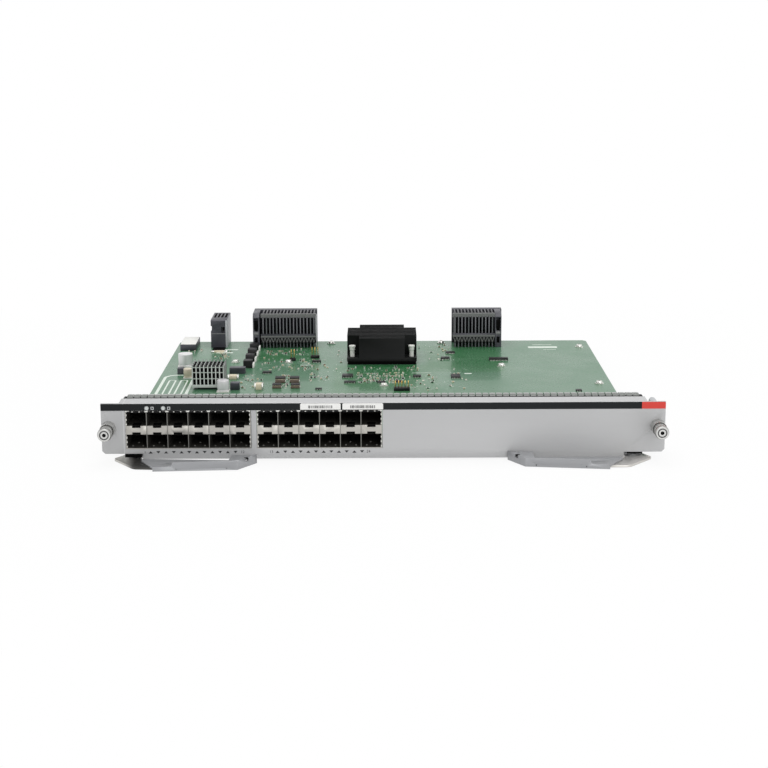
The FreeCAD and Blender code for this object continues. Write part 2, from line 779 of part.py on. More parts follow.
def make_levers():
    """Both ejector levers. The left one stands a little open."""
    moving = {"lever_plate": [make_lever_plate()], "lever_grip": [make_grip()],
              "lever_rivets": [make_grip_rivet(place) for place in grip_rivets]}
    pivot_point = Vector(lever_pivot[0], lever_pivot[1], 0)
    for node, solids in moving.items():
        save(node + "_right", [mirrored(s) for s in solids])
        save(node + "_left", [s.rotated(pivot_point, UP, -lever_open_left) for s in solids])
    pivot = make_pivot()
    washer = make_lever_washer()
    save("lever_pivots", [pivot, mirrored(pivot)])
    save("lever_washers", [washer, mirrored(washer)])


def make_ferrule(x):
    """The cup that holds a captive screw on the faceplate."""
    cup = peg_along_y(x, captive_z, -ferrule_length, 0, ferrule_radius)
    return cup.cut([peg_along_y(x, captive_z, -ferrule_length - 1, -ferrule_floor, ferrule_bore),
                    peg_along_y(x, captive_z, -ferrule_floor - 1, 1, panel_hole_radius, fastener_sides)])


def make_captive_screw(x):
    """The knob with its spring pocket and drive recess, and its shank through the faceplate."""
    knob = peg_along_y(x, captive_z, -knob_front, -knob_rear, knob_radius, knob_sides)
    pocket_floor = -knob_rear - knob_pocket_depth
    half, arm = recess_width / 2, recess_length / 2
    recess_rear = recess_depth - knob_front
    cuts = [peg_along_y(x, captive_z, pocket_floor, 1 - knob_rear, knob_pocket_radius),
            block(x - arm, x + arm, -knob_front - 1, recess_rear, captive_z - half, captive_z + half),
            block(x - half, x + half, -knob_front - 1, recess_rear, captive_z - arm, captive_z + arm)]
    thread_front = panel_back + thread_gap
    neck = peg_along_y(x, captive_z, pocket_floor, thread_front, neck_radius, fastener_sides)
    return joined([knob.cut(cuts), neck,
                   along_y(x, captive_z, thread_front, thread_front + thread_length, thread_radius)])


def skin_over(sections):
    """A solid through a row of four-cornered sections, closed at both ends."""
    def facet(*corners):
        return Part.Face(Part.makePolygon(list(corners) + [corners[0]]))
    faces = [facet(*sections[0]), facet(*sections[-1])]
    for a, b in zip(sections, sections[1:]):
        for i in range(4):
            j = (i + 1) % 4
            faces += [facet(a[i], a[j], b[j]), facet(a[i], b[j], b[i])]
    solid = Part.makeSolid(Part.makeShell(faces))
    if solid.Volume < 0:
        solid.reverse()
    return solid


def make_captive_spring(x):
    """The spring between the cup's floor and the thrust washer."""
    half = spring_wire / 2
    front = -knob_rear - knob_pocket_depth + thrust_washer_thickness + spring_gap + half
    rear = -ferrule_floor - spring_gap - half
    count = spring_turns * spring_steps
    sections = []
    for i in range(count + 1):
        angle = 2 * math.pi * i / spring_steps
        middle = front + (rear - front) * i / count
        section = []
        for across, along in ((-half, -half), (half, -half), (half, half), (-half, half)):
            radius = spring_radius + across
            section.append(Vector(x + radius * math.cos(angle), middle + along,
                                  captive_z + radius * math.sin(angle)))
        sections.append(section)
    return skin_over(sections)


def make_thrust_washer(x):
    """The washer on which the screw turns against its spring."""
    front = -knob_rear - knob_pocket_depth
    washer = peg_along_y(x, captive_z, front, front + thrust_washer_thickness, thrust_washer_radius,
                         fastener_sides)
    return washer.cut(peg_along_y(x, captive_z, front - 1, front + thrust_washer_thickness + 1,
                                  thrust_washer_bore, fastener_sides))


def make_captive_screws():
    """Both captive screws with their cups, springs and thrust washers."""
    save("captive_ferrules", [make_ferrule(side * captive_x) for side in (-1, 1)])
    for side, name in ((-1, "left"), (1, "right")):
        x = side * captive_x
        save("captive_screw_" + name, [make_captive_screw(x)])
        save("captive_spring_" + name, [make_captive_spring(x)])
        save("captive_washer_" + name, [make_thrust_washer(x)])


def make_wafer(x):
    """One wafer of a signal connector, rounded off at its upper front edge."""
    top = board_top + wafer_height
    return strip_along_x([(wafer_front, board_top), (wafer_front, top - wafer_nose),
                          (wafer_front + wafer_nose, top), (wafer_rear, top), (wafer_rear, board_top)],
                         x - wafer_thickness / 2, x + wafer_thickness / 2)


def make_signal_connector(left, right, guide_at_left):
    """Wafers, the comb that spaces them, a guide block at one end and the mating block at the rear."""
    top = board_top + wafer_height
    first = left + guide_width if guide_at_left else left
    last = right if guide_at_left else right - guide_width
    count = int((last - first) / wafer_pitch)
    start = (first + last - (count - 1) * wafer_pitch) / 2
    places = [start + i * wafer_pitch for i in range(count)]
    comb = block(first, last, wafer_front - organizer_depth, wafer_front,
                 board_top + organizer_low, board_top + organizer_high)
    guide_left = left if guide_at_left else right - guide_width
    guide = strip_along_x([(wafer_front, board_top), (wafer_front, top - wafer_nose),
                           (wafer_front + wafer_nose, top), (wafer_rear, top), (wafer_rear, board_top)],
                          guide_left, guide_left + guide_width - wafer_thickness)
    slot_left = guide_left + (guide_width - wafer_thickness - guide_slot_width) / 2
    guide = guide.cut(block(slot_left, slot_left + guide_slot_width, wafer_front - 1, wafer_front + wafer_nose,
                            board_top + guide_slot_low, board_top + guide_slot_high))
    mating = block(left, right, wafer_rear, signal_rear, board_top, top)
    slots = [block(x - mating_slot_width / 2, x + mating_slot_width / 2, signal_rear - mating_slot_depth,
                   signal_rear + 1, board_top + mating_slot_margin, top - mating_slot_margin)
             for x in places[::wafers_per_slot]]
    return {"signal_wafers": [make_wafer(x) for x in places], "signal_combs": [comb],
            "signal_guides": [guide], "signal_mating_blocks": [mating.cut(slots)]}


def make_signal_connectors():
    """Both signal connectors: like pieces of the two share a node."""
    first = make_signal_connector(board_x(LEFT, signal_left[0]), board_x(LEFT, signal_left[1]), True)
    second = make_signal_connector(board_x(RIGHT, signal_right[0]), board_x(RIGHT, signal_right[1]), False)
    for node in first:
        save(node, first[node] + second[node])


def make_power_connector():
    """The tall power connector: a stepped body over the board's edge, and its blades at the mating end."""
    right = power_left + power_width
    top = board_top + power_height
    underside = board_top - power_overhang
    step = board_rear + power_rear_gap
    body = strip_along_x([(power_front, board_top), (power_front, top - power_chamfer),
                          (power_front + power_chamfer, top), (power_rear, top), (power_rear, underside),
                          (step, underside), (step, board_top)], power_left, right)
    pitch = power_width / power_blades
    sockets = []
    blades = []
    for i in range(power_blades):
        x = power_left + (i + 0.5) * pitch
        low = board_top + (power_height - power_blade_height) / 2
        high = low + power_blade_height
        mouth = power_rear - power_blade_length
        half = power_blade_thickness / 2
        sockets.append(block(x - half * 2, x + half * 2, mouth, power_rear + 1, low - half, high + half))
        blades.append(block(x - half, x + half, mouth, power_rear - power_blade_proud, low, high))
    notch = block(power_left - 1, power_left + power_notch_depth, power_front - 1,
                  power_rear - power_blade_length * 2, board_top + power_notch[0], board_top + power_notch[1])
    window_right = right - power_window_inset
    window = block(window_right - power_window_width, window_right,
                   power_front - 1, power_front + power_window_depth,
                   board_top + power_window[0], board_top + power_window[1])
    save("power_connector", [body.cut(sockets + [notch, window])])
    save("power_blades", blades)


def make_heat_sink():
    """The black heat sink: base, fins along X, wide in the middle of its depth and narrower at both ends."""
    cx, cy = sink_centre
    low = board_top + chip_height
    top = board_top + sink_height
    base = block(cx - sink_wing_width / 2, cx + sink_wing_width / 2, cy - sink_core_depth / 2,
                 cy + sink_core_depth / 2, low, low + sink_base)
    fins = []
    pitch = (sink_core_depth - sink_fin_thickness) / (sink_fins - 1)
    for i in range(sink_fins):
        front = cy - sink_core_depth / 2 + i * pitch
        inside = abs(front + sink_fin_thickness / 2 - cy) < sink_wing_depth / 2
        half = (sink_wing_width if inside else sink_core_width) / 2
        fins.append(block(cx - half, cx + half, front, front + sink_fin_thickness, low + sink_base, top))
    holes = [peg(x, y, low - 1, top + 1, pin_body_radius + screw_clearance) for x, y in pin_places()]
    save("chip_heat_sink", [joined([base] + fins).cut(holes)])
    save("switch_chip", [block(cx - chip_size / 2, cx + chip_size / 2, cy - chip_size / 2, cy + chip_size / 2,
                               board_top, low)])


def pin_places():
    """The four corners where push pins hold the heat sink to the board."""
    cx, cy = sink_centre
    dx = sink_wing_width / 2 - pin_inset_x
    dy = sink_core_depth / 2 - pin_inset_y
    return [(cx + sx * dx, cy + sy * dy) for sx in (-1, 1) for sy in (-1, 1)]


def make_push_pin(x, y):
    """A plastic push pin that stands in the heat sink's base on the board."""
    head_low = board_top + pin_height
    return joined([peg(x, y, board_top, head_low, pin_body_radius),
                   peg(x, y, head_low, head_low + pin_head_height, pin_head_radius)])


def make_pin_fin_sink():
    """The small heat sink with a grid of pins, and the chip below it."""
    low = board_top + crate_chip_height
    pieces = [block(crate_left, crate_left + crate_width, crate_front, crate_front + crate_depth,
                    low, low + crate_base)]
    step_x = (crate_width - crate_pin_width) / (crate_columns - 1)
    step_y = (crate_depth - crate_pin_depth) / (crate_rows - 1)
    for i in range(crate_columns):
        for j in range(crate_rows):
            x = crate_left + i * step_x
            y = crate_front + j * step_y
            pieces.append(block(x, x + crate_pin_width, y, y + crate_pin_depth, low + crate_base,
                                board_top + crate_height))
    save("pin_fin_heat_sink", [joined(pieces)])
    inset = crate_chip_inset
    save("pin_fin_chip", [block(crate_left + inset, crate_left + crate_width - inset, crate_front + inset,
                                crate_front + crate_depth - inset, board_top, low)])


def make_capacitor(side, distance, y, radius, height):
    """A round can on a square foot."""
    x = board_x(side, distance)
    foot = block(x - radius, x + radius, y - radius, y + radius, board_top, board_top + capacitor_foot)
    return joined([foot, peg(x, y, board_top + capacitor_foot, board_top + height, radius, capacitor_sides)])


def on_board(side, distance, front, width, depth, height):
    """A square part that lies on the board."""
    left = board_x(side, distance)
    return block(left, left + width, front, front + depth, board_top, board_top + height)


def make_board_parts():
    """Capacitors, modules, inductors, chips and pin headers."""
    save("capacitors", [make_capacitor(*c) for c in capacitors])
    save("power_modules", [on_board(*m) for m in power_modules])
    width, depth, height = module_row_size
    fronts = [module_row_front + i * module_row_pitch for i in range(module_row_count)]
    save("module_row", [on_board(LEFT, module_row_inset, front, width, depth, height) for front in fronts])
    save("inductors", [on_board(*i) for i in inductors])
    save("ceramic_parts", [on_board(*c) for c in ceramics])
    save("board_chips", [on_board(*c) for c in chips])
    bases = []
    pins = []
    half = header_pin / 2
    for (side, distance, front, height), columns, rows in zip(headers, header_column_counts, header_row_counts):
        bases.append(on_board(side, distance, front, columns * header_pitch, rows * header_pitch,
                              header_base_height))
        left = board_x(side, distance)
        for i in range(columns):
            for j in range(rows):
                x = left + (i + 0.5) * header_pitch
                y = front + (j + 0.5) * header_pitch
                pins.append(block(x - half, x + half, y - half, y + half, board_top + header_base_height,
                                  board_top + height))
    save("header_bases", bases)
    save("header_pins", pins)


def make_guide_pin():
    """The round pin behind the faceplate's right end."""
    return along_y(guide_pin_x, panel_top - guide_pin_drop, panel_back, panel_back + guide_pin_length,
                   guide_pin_radius)


screw_places = [(board_x(side, distance), y) for side, distance, y in board_screws]
save("faceplate", [make_faceplate()])
make_stripe()
save("top_gasket", [make_gasket()])
save("circuit_board", [make_board()])
save("tray", [make_tray()])
save("tray_rivets", [make_rivet(x, rivet_y) for x in flange_rivets])
save("board_standoffs", [make_standoff(x, y) for x, y in screw_places])
save("star_washers", [make_star_washer(x, y) for x, y in screw_places])
save("board_screws", [make_board_screw(x, y) for x, y in screw_places])
make_ports()
save("light_pipes", [make_light_pipe(x) for x in light_pipe_x])
make_levers()
make_captive_screws()
make_signal_connectors()
make_power_connector()
make_heat_sink()
save("push_pins", [make_push_pin(x, y) for x, y in pin_places()])
make_pin_fin_sink()
make_board_parts()
save("guide_pin", [make_guide_pin()])
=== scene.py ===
# %% [markdown]
# A switch line card on a white studio floor. The construction model comes in first: it holds the faceplate,
# the cages, the levers and the board at their real sizes, and every finish and small piece below is placed
# from it. Lengths are in metres, as in the frame, and millimetres are written as a number times MM.

import json
import math
import random

import bmesh
import bpy
from mathutils import Matrix, Vector


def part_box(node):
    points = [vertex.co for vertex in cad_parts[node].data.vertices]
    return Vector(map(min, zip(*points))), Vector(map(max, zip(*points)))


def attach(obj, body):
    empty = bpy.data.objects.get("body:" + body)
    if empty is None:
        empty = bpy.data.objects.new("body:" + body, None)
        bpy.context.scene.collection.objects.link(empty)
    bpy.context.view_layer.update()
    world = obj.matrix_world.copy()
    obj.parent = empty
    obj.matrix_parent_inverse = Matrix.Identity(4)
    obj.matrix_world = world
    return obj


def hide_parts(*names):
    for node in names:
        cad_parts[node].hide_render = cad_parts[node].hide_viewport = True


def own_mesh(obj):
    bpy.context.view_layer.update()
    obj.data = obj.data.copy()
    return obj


MM = 0.001
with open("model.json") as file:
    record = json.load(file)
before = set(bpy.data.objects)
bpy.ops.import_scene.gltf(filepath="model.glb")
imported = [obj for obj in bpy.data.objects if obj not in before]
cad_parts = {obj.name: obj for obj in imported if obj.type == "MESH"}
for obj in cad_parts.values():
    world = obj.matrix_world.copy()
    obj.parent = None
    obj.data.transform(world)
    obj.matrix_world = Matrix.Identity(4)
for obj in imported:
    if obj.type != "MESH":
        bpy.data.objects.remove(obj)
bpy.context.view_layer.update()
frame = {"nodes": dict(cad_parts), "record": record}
nodes = frame["nodes"]
slot_of = {part["node"]: part["material_slot"] for part in frame["record"]["subparts"]}
body_of = {name: body for body, names in frame["record"]["behaviour"]["bodies"].items() for name in names}

# %% [markdown]
# The pieces of this scene sit on the construction model, so most of their places are measured from its
# nodes. Printed marks, the patches of small parts and a few small pieces are placed by millimetres behind
# the panel's front. A node's mesh is loose triangles, so each helper works on a merged copy and leaves the
# node itself alone.

# %% Measuring helpers
face_low, face_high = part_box("faceplate")
board_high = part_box("circuit_board")[1]
PANEL_FRONT = face_low[1]
BOARD_TOP = board_high[2]
CARD = "card"


def merged(name):
    """A merged copy of a construction node, with its flat faces whole again."""
    shape = bmesh.new()
    shape.from_mesh(nodes[name].data)
    bmesh.ops.remove_doubles(shape, verts=shape.verts[:], dist=1e-6)
    bmesh.ops.dissolve_limit(shape, angle_limit=0.02, verts=shape.verts[:], edges=shape.edges[:])
    return shape


def solids_of(name):
    """The lowest and highest corner of each separate solid in a node, from left to right."""
    shape = merged(name)
    waiting = set(shape.verts)
    found = []
    while waiting:
        reached = [waiting.pop()]
        for vert in reached:
            for edge in vert.link_edges:
                other = edge.other_vert(vert)
                if other in waiting:
                    waiting.discard(other)
                    reached.append(other)
        low = Vector([min(v.co[axis] for v in reached) for axis in range(3)])
        high = Vector([max(v.co[axis] for v in reached) for axis in range(3)])
        found.append((low, high))
    shape.free()
    return sorted(found, key=lambda pair: (pair[0].x, pair[0].y))


def corner_pair(box):
    """The lowest and highest corner of a box, as vectors."""
    return [Vector(corner) for corner in box]


def across(x, y=0.0, z=0.0):
    """A point from millimetres: along the panel, behind its front, and above the floor."""
    return Vector((x * MM, PANEL_FRONT + y * MM, z * MM))


def foot_of(pair):
    """The middle of a solid's underside."""
    low, high = pair
    return Vector(((low.x + high.x) / 2, (low.y + high.y) / 2, low.z))


print("panel front", round(PANEL_FRONT, 4), "board top", round(BOARD_TOP, 4))

# %% [markdown]
# Every new piece goes through the same few steps: its mesh becomes an object at the origin, live modifiers
# are turned into plain mesh, smooth faces keep their hard edges, and at the end the piece rides on its
# body. Moulded and stamped pieces never have razor edges, so most construction nodes are shown by a copy
# whose edges are eased by a small bevel.

# %% Making helpers
def link(name, mesh):
    """An object at the origin whose place is in its mesh."""
    thing = bpy.data.objects.new(name, mesh)
    bpy.context.scene.collection.objects.link(thing)
    return thing


def made_of(name, shape):
    """An object from a mesh in the making."""
    mesh = bpy.data.meshes.new(name)
    shape.to_mesh(mesh)
    shape.free()
    return link(name, mesh)


def settle(thing, keep_angle=35.0):
    """Turns live modifiers into plain mesh and smooths all but the hard edges."""
    bpy.context.view_layer.update()
    graph = bpy.context.evaluated_depsgraph_get()
    plain = bpy.data.meshes.new_from_object(thing.evaluated_get(graph), preserve_all_data_layers=True,
                                            depsgraph=graph)
    thing.modifiers.clear()
    thing.data = plain
    plain.shade_smooth()
    plain.set_sharp_from_angle(angle=math.radians(keep_angle))
    return thing


def dress(thing, *materials):
    """Gives a mesh its materials. Each face keeps its place in the list."""
    kept = [face.material_index for face in thing.data.polygons]
    thing.data.materials.clear()
    for material in materials:
        thing.data.materials.append(material)
    for face, index in zip(thing.data.polygons, kept):
        face.material_index = min(index, len(materials) - 1)
    return thing


def mounted(thing, body=CARD, instead_of=()):
    """The last step of a piece: it rides on its body and stands for construction nodes."""
    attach(thing, body)
    if instead_of:
        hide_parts(*instead_of)
    return thing


def bevelled(thing, width, segments=2):
    """A small live bevel on the hard edges, which settle turns into mesh."""
    bevel = thing.modifiers.new("eased edges", "BEVEL")
    bevel.width = width * MM
    bevel.segments = segments
    bevel.limit_method = "ANGLE"
    bevel.angle_limit = math.radians(40.0)
    bevel.harden_normals = True
    return thing


def eased(name, material, width=0.2):
    """A copy of a construction node with eased edges, in the node's place."""
    thing = settle(bevelled(made_of("eased_" + name, merged(name)), width))
    return mounted(dress(thing, material), body_of[name], (name,))


def add_box(shape, low, high, index=0):
    """A box between two corners, added to a mesh in the making."""
    made = bmesh.ops.create_cube(shape, size=1.0)["verts"]
    place = Matrix.Translation((low + high) / 2) @ Matrix.Diagonal((*(high - low), 1.0))
    bmesh.ops.transform(shape, matrix=place, verts=made)
    for face in {face for vert in made for face in vert.link_faces}:
        face.material_index = index


def rectangle(left, bottom, right, top):
    """The four corners of an upright rectangle, in turn."""
    return [(left, bottom), (right, bottom), (right, top), (left, top)]


def turned(profile, sides=32):
    """A turned shape about Z from (radius, height) points in millimetres, first and last on the axis."""
    shape = bmesh.new()
    rings = []
    for radius, height in profile:
        count = sides if radius else 1
        rings.append([shape.verts.new((radius * MM * math.cos(2 * math.pi * i / sides),
                                       radius * MM * math.sin(2 * math.pi * i / sides), height * MM))
                      for i in range(count)])
    for lower, upper in zip(rings, rings[1:]):
        for i in range(sides):
            corners = []
            for ring, index in ((lower, i), (lower, i + 1), (upper, i + 1), (upper, i)):
                vert = ring[index % len(ring)]
                if vert not in corners:
                    corners.append(vert)
            if len(corners) > 2:
                shape.faces.new(corners)
    bmesh.ops.recalc_face_normals(shape, faces=shape.faces)
    return shape


print("helpers ready")

# %% [markdown]
# Real finishes are never one flat colour. Paint has a faint orange peel, plated sheet a drawn grain, and
# mouldings a fine bloom. One shader group makes all of these from noise that can be stretched, so the whole
# card ages alike: the same noise drifts the colour and the roughness, and raises a fine bump.

# %% Shader groups
def new_group(name, inputs, outputs):
    """An empty shader group with named sockets, and its two end nodes."""
    tree = bpy.data.node_groups.new(name, "ShaderNodeTree")
    for label, kind, value in inputs:
        socket = tree.interface.new_socket(name=label, in_out="INPUT", socket_type=kind)
        socket.default_value = value
    for label, kind in outputs:
        tree.interface.new_socket(name=label, in_out="OUTPUT", socket_type=kind)
    return tree, tree.nodes.new("NodeGroupInput"), tree.nodes.new("NodeGroupOutput")


def node(tree, kind, numbers=None, **values):
    """A node with its properties and its named inputs set."""
    made = tree.nodes.new(kind)
    for key, value in values.items():
        setattr(made, key, value)
    for label, value in (numbers or {}).items():
        made.inputs[label].default_value = value
    return made


def plug(tree, source, socket):
    """Links a socket, or sets it where the source is a plain value."""
    if isinstance(source, bpy.types.NodeSocket):
        tree.links.new(source, socket)
    else:
        socket.default_value = source


def math_node(tree, operation, *sources):
    """A math node whose inputs are linked or set."""
    made = node(tree, "ShaderNodeMath", operation=operation)
    for index, source in enumerate(sources):
        plug(tree, source, made.inputs[index])
    return made.outputs[0]


def mix_colour(tree, factor, first, second):
    """A colour mix with its three inputs linked or set."""
    mix = node(tree, "ShaderNodeMix", data_type="RGBA")
    for index, source in ((0, factor), (6, first), (7, second)):
        plug(tree, source, mix.inputs[index])
    return mix.outputs[2]


def span(tree, source, low, high, to_low, to_high):
    """Maps one span of values on to another."""
    made = node(tree, "ShaderNodeMapRange", {"From Min": low, "From Max": high,
                                             "To Min": to_low, "To Max": to_high})
    tree.links.new(source, made.inputs["Value"])
    return made.outputs["Result"]


def own_coordinates(tree):
    """The piece's own coordinates, whole and as X, Y and Z."""
    place = node(tree, "ShaderNodeTexCoord").outputs["Object"]
    apart = node(tree, "ShaderNodeSeparateXYZ")
    tree.links.new(place, apart.inputs[0])
    return place, apart.outputs


def build_finish_group():
    """Colour drift, roughness drift and a bump from noise stretched into a grain."""
    tree, start, end = new_group("Finish", [
        ("Color", "NodeSocketColor", (0.5, 0.5, 0.5, 1.0)), ("Grain", "NodeSocketVector", (1.0, 1.0, 1.0)),
        ("Scale", "NodeSocketFloat", 900.0), ("Drift", "NodeSocketFloat", 0.06),
        ("Roughness", "NodeSocketFloat", 0.4), ("Bump", "NodeSocketFloat", 0.1)],
        [("Color", "NodeSocketColor"), ("Roughness", "NodeSocketFloat"), ("Normal", "NodeSocketVector")])
    place = node(tree, "ShaderNodeTexCoord")
    stretch = node(tree, "ShaderNodeVectorMath", operation="MULTIPLY")
    tree.links.new(place.outputs["Object"], stretch.inputs[0])
    tree.links.new(start.outputs["Grain"], stretch.inputs[1])
    fine = node(tree, "ShaderNodeTexNoise", {"Detail": 3.0, "Roughness": 0.6})
    tree.links.new(stretch.outputs["Vector"], fine.inputs["Vector"])
    tree.links.new(start.outputs["Scale"], fine.inputs["Scale"])
    broad = node(tree, "ShaderNodeTexNoise", {"Scale": 34.0, "Detail": 2.0})
    tree.links.new(place.outputs["Object"], broad.inputs["Vector"])
    both = math_node(tree, "ADD", fine.outputs["Fac"], broad.outputs["Fac"])
    centred = math_node(tree, "SUBTRACT", both, 1.0)
    lift = math_node(tree, "MULTIPLY_ADD", centred, start.outputs["Drift"], 1.0)
    tint = node(tree, "ShaderNodeVectorMath", operation="SCALE")
    tree.links.new(start.outputs["Color"], tint.inputs[0])
    tree.links.new(lift, tint.inputs["Scale"])
    relief = node(tree, "ShaderNodeBump", {"Distance": 0.00005})
    tree.links.new(fine.outputs["Fac"], relief.inputs["Height"])
    tree.links.new(start.outputs["Bump"], relief.inputs["Strength"])
    tree.links.new(tint.outputs["Vector"], end.inputs["Color"])
    rough = math_node(tree, "MULTIPLY_ADD", centred, 0.25, start.outputs["Roughness"])
    tree.links.new(rough, end.inputs["Roughness"])
    tree.links.new(relief.outputs["Normal"], end.inputs["Normal"])
    return tree


finish_group = build_finish_group()
print("shader groups", [g.name for g in bpy.data.node_groups if g.bl_idname == "ShaderNodeTree"])

# %% [markdown]
# One helper makes most of the finishes. The metals differ in how far their grain is stretched and how rough
# they are, the paints and mouldings in colour and bloom. Values that are the same all over a surface, such
# as a coat, are set on the shader itself.

# %% Finishes
def linear(rgb):
    """Colours are written as they look on a screen and turned to the light values that the shader needs."""
    return tuple(c / 12.92 if c <= 0.04045 else ((c + 0.055) / 1.055) ** 2.4 for c in rgb) + (1.0,)


def finish(name, rgb, roughness, metallic=0.0, grain=(1.0, 1.0, 1.0), scale=900.0, drift=0.06, bump=0.1,
           coat=0.0, gloss=0.5):
    """A material from the finish group."""
    material = bpy.data.materials.new(name)
    material.use_nodes = True
    tree = material.node_tree
    shader = tree.nodes["Principled BSDF"]
    made = node(tree, "ShaderNodeGroup", node_tree=finish_group, name="Finish")
    for label, value in (("Color", linear(rgb)), ("Grain", grain), ("Scale", scale), ("Drift", drift),
                         ("Roughness", roughness), ("Bump", bump)):
        made.inputs[label].default_value = value
    tree.links.new(made.outputs["Color"], shader.inputs["Base Color"])
    tree.links.new(made.outputs["Roughness"], shader.inputs["Roughness"])
    tree.links.new(made.outputs["Normal"], shader.inputs["Normal"])
    shader.inputs["Metallic"].default_value = metallic
    shader.inputs["Coat Weight"].default_value = coat
    shader.inputs["Coat Roughness"].default_value = 0.12
    shader.inputs["Specular IOR Level"].default_value = gloss
    return material


ALONG_X = (0.04, 1.0, 1.0)
ALONG_Z = (1.0, 1.0, 0.05)


def shaded_by_normal(name, rgb, other, axis, low, high, roughness, metallic):
    """A finish with painted light and shade: its colour changes where the faces look along one axis."""
    material = finish(name, rgb, roughness, metallic, ALONG_X, 900.0, 0.14, 0.08)
    tree = material.node_tree
    apart = node(tree, "ShaderNodeSeparateXYZ")
    tree.links.new(node(tree, "ShaderNodeNewGeometry").outputs["Normal"], apart.inputs[0])
    facing = span(tree, math_node(tree, "ABSOLUTE", apart.outputs[axis]), low, high, 0.0, 0.85)
    changed = mix_colour(tree, facing, tree.nodes["Finish"].outputs["Color"], linear(other))
    tree.links.new(changed, tree.nodes["Principled BSDF"].inputs["Base Color"])
    return material


finishes = {
    "panel_paint": finish("panel paint", (0.735, 0.737, 0.74), 0.44, 0.12, ALONG_X, 700.0, 0.04, 0.05),
    "stripe": finish("stripe film", (0.125, 0.135, 0.14), 0.5, scale=1500.0, bump=0.06, gloss=0.12),
    "patch": finish("red film", (0.83, 0.22, 0.18), 0.4, scale=1500.0, bump=0.06),
    "label": finish("white film", (0.93, 0.93, 0.92), 0.5, scale=1500.0, bump=0.04),
    "spring_steel": finish("spring steel", (0.80, 0.80, 0.79), 0.3, 0.8, ALONG_X, 900.0, 0.1, 0.08),
    "tray_steel": finish("zinc plating", (0.72, 0.73, 0.74), 0.36, 0.9, scale=300.0, drift=0.16, bump=0.06),
    "bright_steel": finish("bright plating", (0.88, 0.88, 0.86), 0.22, 0.9, drift=0.08, bump=0.05),
    "cage": finish("cage plating", (0.71, 0.70, 0.675), 0.38, 0.7, ALONG_X, 900.0, 0.12, 0.1),
    "black_plastic": finish("black moulding", (0.085, 0.085, 0.09), 0.5, scale=1600.0, drift=0.2, bump=0.12,
                            gloss=0.3),
    "clear_plastic": finish("clear moulding", (0.80, 0.82, 0.81), 0.2, scale=1200.0, bump=0.02),
    "grip_paint": finish("grip paint", (0.61, 0.615, 0.625), 0.36, 0.25, ALONG_X, 900.0, 0.06, 0.06),
    "screw_steel": finish("turned steel", (0.74, 0.74, 0.73), 0.3, 0.85, scale=1400.0, drift=0.14, bump=0.08),
    "slate_plastic": finish("slate moulding", (0.25, 0.25, 0.28), 0.42, scale=1600.0, drift=0.2, bump=0.12),
    "contact_metal": finish("gold plating", (0.86, 0.72, 0.42), 0.25, 0.95, drift=0.1, bump=0.04),
    "black_sink": finish("black anodising", (0.06, 0.065, 0.065), 0.55, 0.0, ALONG_X, 900.0, 0.3, 0.12,
                         gloss=0.15),
    "grey_sink": finish("plain aluminium", (0.84, 0.85, 0.86), 0.3, 0.8, scale=900.0, drift=0.14, bump=0.08),
    "white_plastic": finish("white moulding", (0.90, 0.90, 0.88), 0.42, scale=1200.0, drift=0.05, bump=0.06),
    "can_metal": finish("can aluminium", (0.86, 0.86, 0.86), 0.34, 0.45, ALONG_Z, 1200.0, 0.07, 0.05),
    "ferrite": finish("ferrite", (0.36, 0.30, 0.25), 0.5, scale=1500.0, drift=0.2, bump=0.15),
    "cream_plastic": finish("cream ceramic", (0.82, 0.78, 0.68), 0.45, scale=1500.0, drift=0.1, bump=0.08),
}
port_dark = finish("port shadow black", (0.23, 0.225, 0.21), 0.62, scale=500.0, drift=0.8, bump=0.2,
                   gloss=0.2)
# Painted shade: a black finish for slots, wells and gaps that look dark only from shade.
painted_shade_black = finish("painted shade black", (0.03, 0.03, 0.03), 0.8, scale=700.0, drift=0.5, bump=0.1, gloss=0.05)
divider_plating = finish("divider plating", (0.52, 0.52, 0.50), 0.45, 0.5, ALONG_Z, 900.0, 0.12, 0.08)
finger_steel_painted_shade = finish("finger steel", (0.62, 0.63, 0.62), 0.4, 0.5, ALONG_X, 900.0, 0.14, 0.08)
# Painted shade: a near-black finish put in holes, gaps and recesses where only shade falls.
gap_shade_black = finish("gap shade black", (0.08, 0.08, 0.085), 0.7, scale=900.0, drift=0.3, bump=0.1, gloss=0.15)
# Real print ink, also used for the painted shade in two small pin holes of the right grip.
ink_and_hole_shade = finish("print ink", (0.13, 0.13, 0.14), 0.5, scale=1800.0, drift=0.15, bump=0.03)
pale_ink = finish("pale print ink", (0.72, 0.73, 0.73), 0.5, scale=1800.0, drift=0.1, bump=0.03)
silk_ink = finish("board print ink", (0.84, 0.88, 0.84), 0.45, scale=1500.0, drift=0.1, bump=0.05)
tinned = finish("tinned terminals", (0.83, 0.83, 0.81), 0.28, 0.85, scale=1400.0, drift=0.1, bump=0.05)
print("finishes", len(finishes))

# %% [markdown]
# The faceplate's left end stands a shade darker than its middle, and a fine drawn line marks where the end
# section begins. The card's own X coordinate draws both, so they stay in place from every side.

# %% Faceplate paint
def shade_panel_end():
    """A darker tone beyond the end line, and the pale line itself."""
    tree = finishes["panel_paint"].node_tree
    out = math_node(tree, "MULTIPLY", own_coordinates(tree)[1]["X"], -1.0)
    line_start, line_end = 177.4 * MM, 178.0 * MM
    end_mask = span(tree, out, line_end, line_end + 0.3 * MM, 0.0, 0.15)
    line = math_node(tree, "MULTIPLY", span(tree, out, line_start, line_start + 0.1 * MM, 0.0, 0.5),
                     span(tree, out, line_end, line_end + 0.1 * MM, 1.0, 0.0))
    darker = mix_colour(tree, end_mask, tree.nodes["Finish"].outputs["Color"], linear((0.62, 0.622, 0.624)))
    lined = mix_colour(tree, line, darker, linear((0.84, 0.84, 0.84)))
    tree.links.new(lined, tree.nodes["Principled BSDF"].inputs["Base Color"])


shade_panel_end()
print("faceplate paint has its end shade")
